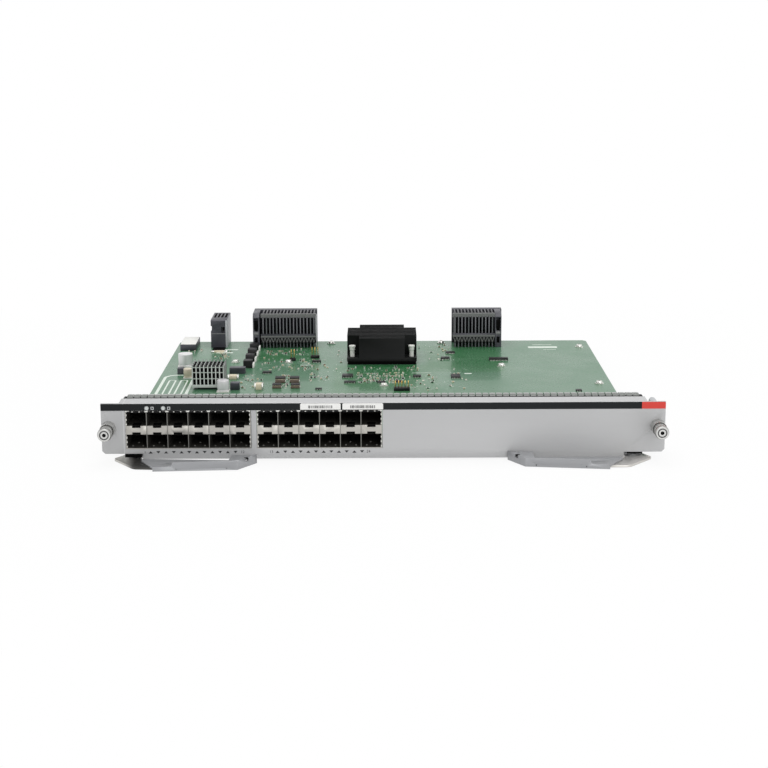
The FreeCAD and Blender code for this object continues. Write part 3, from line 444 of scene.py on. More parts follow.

# %% [markdown]
# The board's solder mask is a thin glossy lacquer over copper. Copper areas show a little lighter, tracks
# run in straight families, and vias are a fine grid of dots. All of it is drawn by nodes in the board's own
# coordinates: a brick pattern for the tracks, and two Voronoi fields for the copper areas and the vias.
# Beside the connectors and the large chip the green is deeper and tracks and vias show more, which three
# soft-edged fields draw.

# %% Solder mask
def soft_field(tree, split, left, right, front, rear):
    """One inside a rectangle of the board, given in millimetres, falling to nothing over its soft edge."""
    edge = 2.5 * MM
    low, high = across(left, front), across(right, rear)
    sides = [span(tree, split[axis], limit - edge, limit + edge, outer, 1.0 - outer)
             for axis, limit, outer in (("X", low.x, 0.0), ("X", high.x, 1.0),
                                        ("Y", low.y, 0.0), ("Y", high.y, 1.0))]
    inside = sides[0]
    for side in sides[1:]:
        inside = math_node(tree, "MULTIPLY", inside, side)
    return inside


def make_solder_mask():
    """Green lacquer with copper areas, tracks and vias below it."""
    material = finish("solder mask", (0.28, 0.445, 0.335), 0.3, scale=600.0, bump=0.03, coat=0.2, gloss=0.16)
    tree = material.node_tree
    tree.nodes["Principled BSDF"].inputs["Coat Roughness"].default_value = 0.04
    place, split = own_coordinates(tree)
    areas = node(tree, "ShaderNodeTexVoronoi", {"Scale": 24.0}, distance="CHEBYCHEV")
    tracks = node(tree, "ShaderNodeTexBrick", {"Scale": 520.0, "Mortar Size": 0.07, "Brick Width": 14.0,
                                               "Row Height": 0.42}, offset=0.37)
    vias = node(tree, "ShaderNodeTexVoronoi", {"Scale": 380.0, "Randomness": 0.55})
    for pattern in (areas, tracks, vias):
        tree.links.new(place, pattern.inputs["Vector"])
    deeper_fields = 0.0
    for field in ((-112.0, -56.0, 285.0, 347.0), (37.0, 100.0, 240.0, 347.0), (-40.0, 44.0, 160.0, 268.0)):
        deeper_fields = math_node(tree, "MAXIMUM", deeper_fields, soft_field(tree, split, *field))
    copper = span(tree, areas.outputs["Distance"], 0.25, 0.55, 0.0, 0.3)
    drawn = math_node(tree, "MULTIPLY", span(tree, tracks.outputs["Fac"], 0.0, 1.0, 0.0, 0.45),
                      math_node(tree, "MULTIPLY_ADD", deeper_fields, 0.7, 0.3))
    dots = math_node(tree, "MULTIPLY", span(tree, vias.outputs["Distance"], 0.10, 0.16, 0.8, 0.0),
                     math_node(tree, "MULTIPLY_ADD", deeper_fields, 0.75, 0.25))
    plain = mix_colour(tree, deeper_fields, tree.nodes["Finish"].outputs["Color"], linear((0.16, 0.38, 0.22)))
    lighter = mix_colour(tree, copper, plain, linear((0.34, 0.485, 0.385)))
    with_tracks = mix_colour(tree, drawn, lighter, linear((0.31, 0.52, 0.36)))
    with_vias = mix_colour(tree, dots, with_tracks, linear((0.58, 0.70, 0.58)))
    tree.links.new(with_vias, tree.nodes["Principled BSDF"].inputs["Base Color"])
    return material


finishes["board"] = make_solder_mask()
for name, thing in nodes.items():
    dress(thing, finishes[slot_of[name]])
print("dressed nodes", len(nodes))

# %% [markdown]
# Screws, washers and pins repeat all over the card. Each is drawn once, and a Geometry Nodes tree sets a
# copy on every point of a mesh. The tree ends by realizing the copies and setting their material, because a
# plain mesh is what travels well.

# %% Copies on points
def new_geometry_tree(name, inputs):
    """An empty Geometry Nodes tree with named inputs, and its two end nodes."""
    tree = bpy.data.node_groups.new(name, "GeometryNodeTree")
    tree.interface.new_socket(name="Geometry", in_out="INPUT", socket_type="NodeSocketGeometry")
    for label, kind in inputs:
        tree.interface.new_socket(name=label, in_out="INPUT", socket_type=kind)
    tree.interface.new_socket(name="Geometry", in_out="OUTPUT", socket_type="NodeSocketGeometry")
    return tree, tree.nodes.new("NodeGroupInput"), tree.nodes.new("NodeGroupOutput")


def chain(tree, *steps):
    """Links each step's first output to the next step's first input."""
    for first, second in zip(steps, steps[1:]):
        tree.links.new(first.outputs[0], second.inputs[0])


def realized(tree, start, instances, end):
    """The end of every tree: plain mesh with its material set."""
    paint = tree.nodes.new("GeometryNodeSetMaterial")
    tree.links.new(start.outputs["Material"], paint.inputs["Material"])
    chain(tree, instances, tree.nodes.new("GeometryNodeRealizeInstances"), paint, end)
    return tree


def build_copies_tree():
    """Sets a turned copy of an object on every point of a mesh."""
    tree, start, end = new_geometry_tree("Copies on points", [
        ("Copy", "NodeSocketObject"), ("Turn Spread", "NodeSocketFloat"), ("Seed", "NodeSocketInt"),
        ("Material", "NodeSocketMaterial")])
    source = tree.nodes.new("GeometryNodeObjectInfo")
    tree.links.new(start.outputs["Copy"], source.inputs["Object"])
    turn = node(tree, "FunctionNodeRandomValue", data_type="FLOAT")
    tree.links.new(start.outputs["Turn Spread"], turn.inputs[3])
    tree.links.new(start.outputs["Seed"], turn.inputs["Seed"])
    upright = tree.nodes.new("ShaderNodeCombineXYZ")
    tree.links.new(turn.outputs[1], upright.inputs["Z"])
    place = tree.nodes.new("GeometryNodeInstanceOnPoints")
    tree.links.new(source.outputs["Geometry"], place.inputs["Instance"])
    tree.links.new(upright.outputs[0], place.inputs["Rotation"])
    chain(tree, start, place)
    return realized(tree, start, place, end)


def run_tree(thing, tree, values):
    """Runs a tree on an object with its named inputs set, and keeps the result as plain mesh."""
    modifier = thing.modifiers.new(tree.name, "NODES")
    modifier.node_group = tree
    for socket in tree.interface.items_tree:
        if socket.item_type == "SOCKET" and socket.in_out == "INPUT" and socket.name in values:
            modifier[socket.identifier] = values[socket.name]
    return settle(thing)


copies_tree = build_copies_tree()


def copies(name, shape, places, material, turn_spread=0.0, seed=1):
    """Copies of one drawn shape on each of the places."""
    pattern = made_of(name + "_pattern", shape)
    points = bpy.data.meshes.new(name)
    points.from_pydata([tuple(p) for p in places], [], [])
    thing = run_tree(link(name, points), copies_tree,
                     {"Copy": pattern, "Turn Spread": turn_spread, "Seed": seed, "Material": material})
    bpy.data.objects.remove(pattern)
    return thing


print("copies tree has", len(copies_tree.nodes), "nodes")

# %% [markdown]
# A pan-head screw holds the board at each spacer. Its head is a turned dome with a cross recess, cut once
# with a Boolean, and under it lies a toothed lock washer that bites into the lacquer. The bright head and
# teeth are what catches the eye on the bare green board.

# %% Board screws and toothed washers
def screw_shape(radius, height, recess, shank):
    """A domed head above z = 0 with a cross recess, and a plain shank below it."""
    shank_radius = radius * 0.48
    outline = [(0, -shank), (shank_radius, -shank), (shank_radius, 0), (radius, 0), (radius, height * 0.45),
               (radius * 0.86, height * 0.8), (radius * 0.5, height * 0.97), (0, height)]
    head = made_of("screw_head", turned(outline, 28))
    cutter = bmesh.new()
    for wide, deep in ((recess, recess * 0.22), (recess * 0.22, recess)):
        add_box(cutter, Vector((-wide / 2, -deep / 2, height * 0.4)) * MM,
                Vector((wide / 2, deep / 2, height + 1)) * MM)
    blade = made_of("recess_cutter", cutter)
    cut = head.modifiers.new("recess", "BOOLEAN")
    cut.operation = "DIFFERENCE"
    cut.object = blade
    cut.solver = "EXACT"
    cut.use_self = True
    settle(head)
    shape = bmesh.new()
    shape.from_mesh(head.data)
    bpy.data.objects.remove(head)
    bpy.data.objects.remove(blade)
    return shape


def toothed_washer(inner, outer, thickness, teeth):
    """A flat ring whose rim is a row of slightly raised teeth."""
    shape = bmesh.new()
    rings = [[], [], [], []]
    for i in range(teeth * 2):
        angle = math.pi * i / teeth
        radius = outer if i % 2 == 0 else outer * 0.72
        lift = thickness * (1.3 if i % 2 == 0 else 0.8)
        for ring, reach, height in zip(rings, (radius, radius, inner, inner), (0.0, lift, thickness, 0.0)):
            spot = (reach * MM * math.cos(angle), reach * MM * math.sin(angle), height * MM)
            ring.append(shape.verts.new(spot))
    count = teeth * 2
    for first, second in zip(rings, rings[1:] + rings[:1]):
        for i in range(count):
            shape.faces.new((first[i], first[(i + 1) % count], second[(i + 1) % count], second[i]))
    bmesh.ops.recalc_face_normals(shape, faces=shape.faces)
    return shape


washer_boxes = solids_of("star_washers")
screw_spots = [foot_of(pair) for pair in washer_boxes]
washer_high = Vector((0.0, 0.0, washer_boxes[0][1].z - washer_boxes[0][0].z))
head_spots = [spot + washer_high for spot in screw_spots]
screw_heads = copies("screw_heads", screw_shape(radius=2.6, height=2.2, recess=3.1, shank=5.9), head_spots,
                     finishes["bright_steel"], turn_spread=1.5, seed=4)
mounted(screw_heads, CARD, ("board_screws",))
lock_washers = copies("lock_washers", toothed_washer(inner=1.5, outer=4.0, thickness=0.5, teeth=8),
                      screw_spots, finishes["bright_steel"], turn_spread=0.6, seed=5)
mounted(lock_washers, CARD, ("star_washers",))
print("board screws", len(screw_spots))

# %% [markdown]
# The finger gasket is one springy strip that grounds the card to its neighbour. Each finger is an arch
# about 4 mm wide. The tree below draws one finger from a grid, bends it with a power of its length, gives
# it thickness, and repeats it along the flange with the real pitch. The front of each arch has painted
# shade, dark as its steep front would be in shadow.

# %% Finger gasket
def build_finger_tree():
    """One arched finger with its thickness, repeated along a row."""
    tree, start, end = new_geometry_tree("Row of arched fingers", [
        ("Count", "NodeSocketInt"), ("Pitch", "NodeSocketFloat"), ("Width", "NodeSocketFloat"),
        ("Length", "NodeSocketFloat"), ("Rise", "NodeSocketFloat"), ("Thickness", "NodeSocketFloat"),
        ("Material", "NodeSocketMaterial")])
    blank = node(tree, "GeometryNodeMeshGrid", {"Vertices X": 5, "Vertices Y": 13})
    tree.links.new(start.outputs["Width"], blank.inputs["Size X"])
    tree.links.new(start.outputs["Length"], blank.inputs["Size Y"])
    apart = tree.nodes.new("ShaderNodeSeparateXYZ")
    tree.links.new(tree.nodes.new("GeometryNodeInputPosition").outputs[0], apart.inputs[0])
    along, side = [math_node(tree, "DIVIDE", apart.outputs[axis],
                             math_node(tree, "MULTIPLY", start.outputs[length], 0.5))
                   for axis, length in (("Y", "Length"), ("X", "Width"))]
    arch = math_node(tree, "SUBTRACT", 1.0, math_node(tree, "POWER", math_node(tree, "ABSOLUTE", along), 3.0))
    crown = math_node(tree, "MULTIPLY_ADD", math_node(tree, "MULTIPLY", side, side), -0.09, arch)
    lift = tree.nodes.new("ShaderNodeCombineXYZ")
    tree.links.new(math_node(tree, "MULTIPLY", crown, start.outputs["Rise"]), lift.inputs["Z"])
    bend = tree.nodes.new("GeometryNodeSetPosition")
    tree.links.new(lift.outputs[0], bend.inputs["Offset"])
    chain(tree, blank, bend)
    under = tree.nodes.new("GeometryNodeFlipFaces")
    tree.links.new(bend.outputs[0], under.inputs[0])
    thick = node(tree, "GeometryNodeExtrudeMesh", {"Individual": False})
    tree.links.new(bend.outputs[0], thick.inputs["Mesh"])
    tree.links.new(node(tree, "ShaderNodeCombineXYZ", {"Z": 1.0}).outputs[0], thick.inputs["Offset"])
    tree.links.new(start.outputs["Thickness"], thick.inputs["Offset Scale"])
    both = tree.nodes.new("GeometryNodeJoinGeometry")
    tree.links.new(thick.outputs[0], both.inputs[0])
    tree.links.new(under.outputs[0], both.inputs[0])
    weld = node(tree, "GeometryNodeMergeByDistance", {"Distance": 1e-6})
    tree.links.new(both.outputs[0], weld.inputs[0])
    step = tree.nodes.new("ShaderNodeCombineXYZ")
    tree.links.new(start.outputs["Pitch"], step.inputs["X"])
    row = tree.nodes.new("GeometryNodeMeshLine")
    tree.links.new(start.outputs["Count"], row.inputs["Count"])
    tree.links.new(step.outputs[0], row.inputs["Offset"])
    copy = tree.nodes.new("GeometryNodeInstanceOnPoints")
    tree.links.new(row.outputs[0], copy.inputs["Points"])
    tree.links.new(weld.outputs[0], copy.inputs["Instance"])
    return realized(tree, start, copy, end)


def shade_along(material, axis, start_at, end_at, other, strength=0.85):
    """Blends a finish into a painted shade along one axis of the piece's own coordinates."""
    tree = material.node_tree
    part = span(tree, own_coordinates(tree)[1][axis], start_at, end_at, 0.0, strength)
    base = tree.nodes["Principled BSDF"].inputs["Base Color"]
    tree.links.new(mix_colour(tree, part, base.links[0].from_socket, linear(other)), base)


gasket_low, gasket_high = corner_pair(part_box("top_gasket"))
finger_pitch = 4.76 * MM
finger_count = int((gasket_high.x - gasket_low.x) / finger_pitch)
finger_length = 10.6 * MM
fingers = run_tree(link("gasket_fingers", bpy.data.meshes.new("gasket_fingers")), build_finger_tree(),
                   {"Count": finger_count, "Pitch": finger_pitch, "Width": finger_pitch - 0.7 * MM,
                    "Length": finger_length, "Rise": 1.85 * MM, "Thickness": 0.2 * MM,
                    "Material": finger_steel_painted_shade})
row_start = (gasket_low.x + gasket_high.x - (finger_count - 1) * finger_pitch) / 2
FINGER_ROOT = gasket_low.y + 5.8 * MM
# Painted shade: the front of each finger is darkened as if in its own shadow.
shade_along(finger_steel_painted_shade, "Y", FINGER_ROOT + 4.6 * MM, FINGER_ROOT + 3.4 * MM, (0.36, 0.37, 0.36))
first_finger = Vector((row_start, FINGER_ROOT + finger_length / 2, gasket_low.z + 0.05 * MM))
fingers.data.transform(Matrix.Translation(first_finger))
mounted(fingers, CARD, ("top_gasket",))
print("gasket fingers", finger_count, "faces", len(fingers.data.polygons))

# %% [markdown]
# In front of the fingers runs the gasket's carrier: a low steel strip that ends in an undercut of painted
# shade, where the fingers rise from it. That dark line is what separates the fingers from the flange at a
# distance. The bed under the fingers is painted shade too. The fingers' free ends curl over the flange's
# rear edge.

# %% Gasket carrier
def gasket_carrier():
    """The steel strip in front of the fingers, with the undercut and the bed behind it in painted shade."""
    shape = bmesh.new()
    add_box(shape, gasket_low, Vector((gasket_high.x, FINGER_ROOT - 0.2 * MM, gasket_low.z + 0.3 * MM)), 0)
    # Painted shade: the undercut and the bed are black only because shade falls there.
    add_box(shape, Vector((gasket_low.x + 0.3 * MM, FINGER_ROOT - 0.2 * MM, gasket_low.z)),
            Vector((gasket_high.x - 0.3 * MM, FINGER_ROOT + 0.7 * MM, gasket_low.z + 1.0 * MM)), 1)
    add_box(shape, Vector((gasket_low.x, FINGER_ROOT + 0.7 * MM, gasket_low.z)),
            Vector((gasket_high.x, gasket_high.y, gasket_low.z + 0.3 * MM)), 1)
    return settle(made_of("gasket_carrier", shape))


mounted(dress(gasket_carrier(), finishes["spring_steel"], gap_shade_black))
print("gasket carrier done")

# %% [markdown]
# A port is a deep dark pocket: light enters only its first few millimetres. The openings are listed in the
# frame's record, so each gets a lining of painted shade, an open box just inside the cage walls, and the
# latch slots in the middle bar get dark wells of painted shade. On each lower port's floor lie three small
# ground tabs in the dividers' dull plating.

# %% Painted port shade, latch slot shade and ground tabs
openings = [(opening["name"], *corner_pair(opening["box_m"]))
            for opening in frame["record"]["physics"]["openings"]]


def port_linings():
    """Five thin walls of painted shade inside every port, from a little behind its mouth."""
    shape = bmesh.new()
    reach = Vector((0.52, 0.0, 0.32)) * MM
    mouth, depth = PANEL_FRONT + 0.5 * MM, PANEL_FRONT + 33.0 * MM
    for _, low, high in openings:
        low, high = low - reach, high + reach
        front = [shape.verts.new((x, mouth, z)) for x, z in rectangle(low.x, low.z, high.x, high.z)]
        rear = [shape.verts.new((v.co.x, depth, v.co.z)) for v in front]
        for i in range(4):
            j = (i + 1) % 4
            shape.faces.new((front[i], rear[i], rear[j], front[j]))
        shape.faces.new(rear)
    thing = made_of("port_linings", shape)
    wall = thing.modifiers.new("wall", "SOLIDIFY")
    wall.thickness = 0.06 * MM
    wall.offset = 0.0
    return settle(thing)


def latch_wells():
    """Dark blocks of painted shade that fill the latch slots from just behind the middle bars' fronts."""
    shape = bmesh.new()
    half_wide, near, far = 2.82 * MM, 0.9 * MM, 7.9 * MM
    sunk, proud = 1.5 * MM, 0.25 * MM
    for side in ("left", "right"):
        for low, high in solids_of("cage_middle_bars_" + side):
            middle = (low.x + high.x) / 2
            for bottom, top in ((high.z - sunk, high.z + proud), (low.z - proud, low.z + sunk)):
                add_box(shape, Vector((middle - half_wide, low.y + near, bottom)),
                        Vector((middle + half_wide, low.y + far, top)))
    return settle(made_of("latch_wells", shape))


def ground_tabs():
    """A tab and two smaller ones on the floor of each lower port."""
    shape = bmesh.new()
    tabs = ((-0.6, 1.2, 13.0, 15.0), (-3.4, 1.0, 4.5, 5.3), (3.6, 1.0, 4.5, 5.3))
    for name, low, high in openings:
        if name.startswith("lower"):
            middle = (low.x + high.x) / 2
            for shift, wide, near, far in tabs:
                left, right = middle + (shift - wide / 2) * MM, middle + (shift + wide / 2) * MM
                add_box(shape, Vector((left, PANEL_FRONT + near * MM, low.z - 0.3 * MM)),
                        Vector((right, PANEL_FRONT + far * MM, low.z + 0.25 * MM)))
    return settle(bevelled(made_of("ground_tabs", shape), 0.1))


# Painted shade: the dark walls stand for the shadow deep inside each port.
mounted(dress(port_linings(), port_dark))
# Painted shade: black blocks in the latch slots.
mounted(dress(latch_wells(), painted_shade_black))
for side in ("left", "right"):
    dress(nodes["cage_dividers_" + side], divider_plating)
mounted(dress(ground_tabs(), divider_plating))
print("port linings", len(openings))

# %% [markdown]
# The cages' tops are pierced with round cooling holes behind the flange. The copies tree sets one thin dark
# disc of painted shade on each place of a grid, for the shadow seen through each hole.

# %% Cooling holes
VENT_COLUMNS = 22
VENT_ROWS = 4
VENT_FIRST_ROW = 2.4
VENT_ROW_STEP = 3.4
VENT_RADIUS = 0.95


def vent_places():
    """The middle of every hole, a little above the cages' tops."""
    places = []
    for side in ("left", "right"):
        low, high = corner_pair(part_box("cage_" + side))
        for i in range(VENT_COLUMNS):
            for j in range(VENT_ROWS):
                places.append(Vector((low.x + (high.x - low.x) * (i + 0.5) / VENT_COLUMNS,
                                      high.y - (VENT_FIRST_ROW + VENT_ROW_STEP * j) * MM,
                                      high.z + 0.02 * MM)))
    return places


vent = bmesh.new()
bmesh.ops.create_circle(vent, cap_ends=True, segments=12, radius=VENT_RADIUS * MM)
for face in vent.faces:
    face.normal_update()
    if face.normal.z < 0:
        face.normal_flip()
# Painted shade: flat dark discs stand for the holes.
mounted(copies("cage_vents", vent, vent_places(), gap_shade_black))
print("cooling holes done")

# %% [markdown]
# Over the ports runs a dark lip of painted shade, where the cage's grounding springs press up against
# the window's edge.
# Their bright noses show as a row of dots: a wide one over each divider and two small ones over each
# column.

# %% Port lip and spring noses
COLUMNS = 6


def lip_and_noses():
    """The dark lip of painted shade over both port blocks, and the springs' noses on it."""
    lip = bmesh.new()
    noses = bmesh.new()
    for side in ("left", "right"):
        low, high = corner_pair(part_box("cage_" + side))
        edge = low.y - 0.06 * MM
        add_box(lip, Vector((low.x, edge, high.z - 0.75 * MM)),
                Vector((high.x, low.y + 0.1 * MM, high.z + 0.1 * MM)))
        pitch = (high.x - low.x - 0.4 * MM) / COLUMNS
        spots = [(low.x + 0.2 * MM + column * pitch, 0.95 * MM) for column in range(COLUMNS + 1)]
        spots += [(low.x + 0.2 * MM + (column + 0.5 + shift) * pitch, 0.45 * MM)
                  for column in range(COLUMNS) for shift in (-0.17, 0.17)]
        crown = high.z - 0.1 * MM
        for x, reach in spots:
            add_box(noses, Vector((max(low.x, x - reach), edge - 0.12 * MM, crown - 0.3 * MM)),
                    Vector((min(high.x, x + reach), edge + 0.02 * MM, crown + 0.2 * MM)))
    return settle(made_of("port_lip", lip)), settle(made_of("spring_noses", noses))


lip, noses = lip_and_noses()
# Painted shade: the lip is black for the crevice over the ports.
mounted(dress(lip, gap_shade_black))
mounted(dress(noses, finishes["bright_steel"]))
print("spring noses", len(noses.data.polygons) // 6)

# %% [markdown]
# Printing is a film of ink a few hundredths of a millimetre thick. Up and down marks under the ports show
# which port of a column they count, with the first and last number of each block. They are flat meshes just
# in front of the paint.

# %% Port marks and numbers
INK = 0.03 * MM


def flat_patch(shape, corners, front):
    """A flat ink patch that faces the front, from (x, z) corners."""
    face = shape.faces.new([shape.verts.new((x, front, z)) for x, z in corners])
    face.normal_update()
    if face.normal.y > 0:
        face.normal_flip()


def lettering(text, height, place):
    """Text made into a flat mesh that faces the front, centred on its place."""
    data = bpy.data.curves.new("number", "FONT")
    data.body = text
    data.size = height
    data.align_x = "CENTER"
    data.align_y = "CENTER"
    writing = link("number", data)
    bpy.context.view_layer.update()
    mesh = bpy.data.meshes.new_from_object(writing.evaluated_get(bpy.context.evaluated_depsgraph_get()))
    bpy.data.objects.remove(writing)
    mesh.transform(Matrix.Translation(place) @ Matrix.Rotation(math.radians(90.0), 4, "X"))
    return mesh


def port_marks():
    """A triangle for every port, and the first and last number of each block."""
    shape = bmesh.new()
    level, half_wide, half_high = 5.9 * MM, 1.45 * MM, 0.85 * MM
    for start, step in ((-159.8, 5.3), (-72.6, 5.27)):
        for i in range(12):
            x = (start + i * step) * MM
            rise = half_high if i % 2 == 0 else -half_high
            mark = [(x - half_wide, level - rise), (x + half_wide, level - rise), (x, level + rise)]
            flat_patch(shape, mark, PANEL_FRONT - INK)
    for text, x in (("1", -163.6), ("12", -96.6), ("13", -76.8), ("24", -10.2)):
        shape.from_mesh(lettering(text, 2.6 * MM, across(x, -0.03, 5.9)))
    return made_of("port_marks", shape)


marks = mounted(dress(port_marks(), ink_and_hole_shade))
print("port marks", len(marks.data.polygons))

# %% [markdown]
# The white labels on the stripe carry plain bars that stand for a printed code and have no meaning. The
# light pipes shine through small round signs with a square sign beside each. All are flat ink.

# %% Label bars and stripe signs
def label_bars():
    """Uneven upright bars on the middle of each white label."""
    shape = bmesh.new()
    dice = random.Random(7)
    for low, high in solids_of("stripe_labels"):
        x = low.x + 5.5 * MM
        while x < high.x - 5.5 * MM:
            wide = dice.choice((0.22, 0.22, 0.4, 0.55)) * MM
            flat_patch(shape, rectangle(x, low.z + 0.9 * MM, x + wide, high.z - 0.7 * MM), low.y - INK)
            x += wide + dice.choice((0.25, 0.35, 0.5)) * MM
    return made_of("label_bars", shape)


def label_tops():
    """The labels' upper edges, whose corners are rounded off in two steps."""
    shape = bmesh.new()
    for low, high in solids_of("stripe_labels"):
        for inset, bottom, top in ((0.1, 0.0, 0.5), (0.6, 0.5, 0.8)):
            add_box(shape, Vector((low.x + inset * MM, low.y, high.z + bottom * MM)),
                    Vector((high.x - inset * MM, high.y, high.z + top * MM)))
    return settle(made_of("label_tops", shape))


def ring_sign(shape, x, z, inner, outer, sides, front, turn=0.0):
    """A flat ring with any number of sides."""
    spots = [(math.cos(turn + 2 * math.pi * i / sides), math.sin(turn + 2 * math.pi * i / sides))
             for i in range(sides)]
    for (a, b), (c, d) in zip(spots, spots[1:] + spots[:1]):
        flat_patch(shape, [(x + a * inner, z + b * inner), (x + a * outer, z + b * outer),
                           (x + c * outer, z + d * outer), (x + c * inner, z + d * inner)], front)


def stripe_signs():
    """A ring round each light pipe and a square sign to its right."""
    shape = bmesh.new()
    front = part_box("stripe_film")[0][1] - INK
    for low, high in solids_of("light_pipes"):
        x, z = (low.x + high.x) / 2, (low.z + high.z) / 2
        ring_sign(shape, x, z, 1.15 * MM, 1.5 * MM, 24, front)
        ring_sign(shape, x + 3.8 * MM, z, 0.75 * MM, 1.5 * MM, 4, front, math.pi / 4)
    return made_of("stripe_signs", shape)


def stripe_edges():
    """The film turned over the faceplate's upper edge, dark along the stripe and red over the end patch."""
    shape = bmesh.new()
    film_low, film_high = corner_pair(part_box("stripe_film"))
    patch_low, patch_high = corner_pair(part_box("stripe_end_patch"))
    top = face_high[2] - 0.2 * MM
    add_box(shape, Vector((film_low.x + 0.1 * MM, film_low.y, film_high.z)),
            Vector((film_high.x + 1.5 * MM, film_high.y, top)), 0)
    add_box(shape, Vector((film_high.x, film_low.y - 0.05 * MM, film_low.z)),
            Vector((film_high.x + 1.5 * MM, film_low.y, top)), 0)
    add_box(shape, Vector((film_high.x + 1.5 * MM, patch_low.y, patch_high.z)),
            Vector((patch_high.x - 0.3 * MM, patch_high.y, top)), 1)
    return settle(made_of("stripe_edges", shape))


mounted(dress(label_bars(), ink_and_hole_shade))
mounted(dress(label_tops(), finishes["label"]))
mounted(dress(stripe_signs(), pale_ink))
mounted(dress(stripe_edges(), finishes["stripe"], finishes["patch"]))
print("label bars and signs done")

# %% [markdown]
# A captive screw stays in the faceplate when it is undone. Its knob has a knurled head, wider than the
# barrel behind it, a turned face with a ring round the drive recess, and hollow space behind for the
# spring. The cup it slides into has a rolled rim and a knurled skin. Both are lathe shapes whose outline is
# a short list of radii. The knurl is pressed in by moving rim points inwards in turn, because at this size
# its teeth catch light one by one.

# %% Captive screws
def knurled(shape, teeth, depth, low, high):
    """Presses a knurl into the outer skin of a turned shape between two heights."""
    rim = max(math.hypot(v.co.x, v.co.y) for v in shape.verts)
    for vert in shape.verts:
        if low * MM < vert.co.z < high * MM and math.hypot(vert.co.x, vert.co.y) > rim * 0.96:
            pull = 1.0 - depth * MM / rim * (0.5 - 0.5 * math.cos(math.atan2(vert.co.y, vert.co.x) * teeth))
            vert.co.x *= pull
            vert.co.y *= pull
    return shape


def knob_shape(long):
    """Shank, spring pocket, plain barrel, knurled head and ringed face, from rear to front."""
    shank = [(0, -13.4), (1.4, -13.4), (1.75, -13.0), (1.75, -9.4), (1.45, -9.2), (1.45, 4.6), (3.7, 4.6)]
    barrel = [(3.7, 0.0), (4.1, 0.0), (4.3, 0.25), (4.3, long - 6.2), (3.9, long - 5.9), (3.9, long - 5.4)]
    head = [(4.75, long - 5.2)] + [(4.85, long - 5.0 + 0.8 * i) for i in range(6)]
    face = [(4.5, long - 0.4), (4.2, long), (3.3, long), (3.1, long - 0.7), (2.6, long - 0.7), (2.4, long),
            (1.3, long), (1.1, long - 1.5), (0, long - 1.7)]
    return knurled(turned(shank + barrel + head + face, 96), 32, 0.5, long - 5.1, long - 0.9)


def facing_front(thing, place):
    """Lays an upright turned piece down, so that its foot is at the rear and its head faces the front."""
    thing.data.transform(Matrix.Translation(place) @ Matrix.Rotation(math.radians(90.0), 4, "X"))
    return thing


# Painted light: the knob's front-facing faces are lighter than its knurled sides. Painted shade: the face's
# groove is grey and the drive recess black.
knob_steel_lit_face = shaded_by_normal("knob steel", (0.66, 0.66, 0.65), (0.84, 0.84, 0.83), "Y", 0.7, 0.95, 0.32, 0.7)
groove_shade_grey = finish("turned groove", (0.45, 0.45, 0.45), 0.5, 0.3, scale=1400.0, drift=0.2, bump=0.08)
ferrule_boxes = solids_of("captive_ferrules")
KNOB_LONG = 11.9
for side in ("left", "right"):
    low, high = corner_pair(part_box("captive_screw_" + side))
    middle = Vector(((low.x + high.x) / 2, low.y + KNOB_LONG * MM, (low.z + high.z) / 2))
    knob = settle(facing_front(made_of("knob_" + side, knob_shape(KNOB_LONG)), middle), 30.0)
    for face in knob.data.polygons:
        off_axis = math.hypot(face.center.x - middle.x, face.center.z - middle.z) / MM
        sunk = (face.center.y - low.y) / MM
        recess, groove = off_axis < 1.25, 2.4 < off_axis < 3.3 and sunk > 0.1
        # Painted shade in the recess and the groove.
        face.material_index = 2 if sunk < 2.0 and recess else int(sunk < 2.0 and groove)
    mounted(dress(knob, knob_steel_lit_face, groove_shade_grey, gap_shade_black), "knob_" + side,
            ("captive_screw_" + side,))

cup_bore = [(4.66, 8.0), (4.66, 1.0), (1.9, 1.0), (1.9, 0.0), (5.0, 0.0)]
cup_skin = [(5.0, 0.4 + 0.9 * i) for i in range(8)]
cup_rim = [(4.85, 7.1), (5.0, 7.4), (5.02, 8.6), (4.9, 8.95), (4.74, 8.9), (4.66, 8.0)]
cup = turned(cup_bore + cup_skin + cup_rim, 96)
bmesh.ops.remove_doubles(cup, verts=cup.verts[:], dist=1e-6)
bmesh.ops.recalc_face_normals(cup, faces=cup.faces)
knurled(cup, 40, 0.22, 0.3, 6.9)
bmesh.ops.rotate(cup, verts=cup.verts[:], matrix=Matrix.Rotation(math.radians(90.0), 3, "X"))
cup_spots = [Vector(((low.x + high.x) / 2, high.y, (low.z + high.z) / 2)) for low, high in ferrule_boxes]
mounted(copies("knurled_cups", cup, cup_spots, finishes["screw_steel"]), CARD,
        ("captive_ferrules",))
print("captive screws", len(ferrule_boxes))

# %% [markdown]
# Inside each cup a spring pushes the knob out. Each coil is a copy of its construction node and keeps a
# mesh of its own.

# %% Captive springs
for side in ("left", "right"):
    spring = settle(made_of("spring_coil_" + side, merged("captive_spring_" + side)))
    mounted(dress(spring, finishes["spring_steel"]), CARD, ("captive_spring_" + side,))
    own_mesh(spring)
print("captive springs done")

# %% [markdown]
# The moulded and stamped pieces need only softer edges and their finish. A bevel of one to three tenths of
# a millimetre gives each edge the thin highlight that tells plastic and sheet metal from a plain block.

# %% Eased edges
for name, width in (("faceplate", 0.25), ("lever_grip_left", 0.3), ("lever_grip_right", 0.3),
                    ("lever_pivots", 0.12), ("power_connector", 0.25), ("signal_guides", 0.25),
                    ("signal_combs", 0.12), ("tray", 0.2), ("signal_mating_blocks", 0.2),
                    ("power_modules", 0.2), ("module_row", 0.25), ("board_chips", 0.12),
                    ("header_bases", 0.15), ("chip_heat_sink", 0.15), ("tray_rivets", 0.1),
                    ("cage_middle_bars_left", 0.15), ("cage_middle_bars_right", 0.15), ("header_pins", 0.1)):
    eased(name, finishes[slot_of[name]], width)
print("eased nodes done")
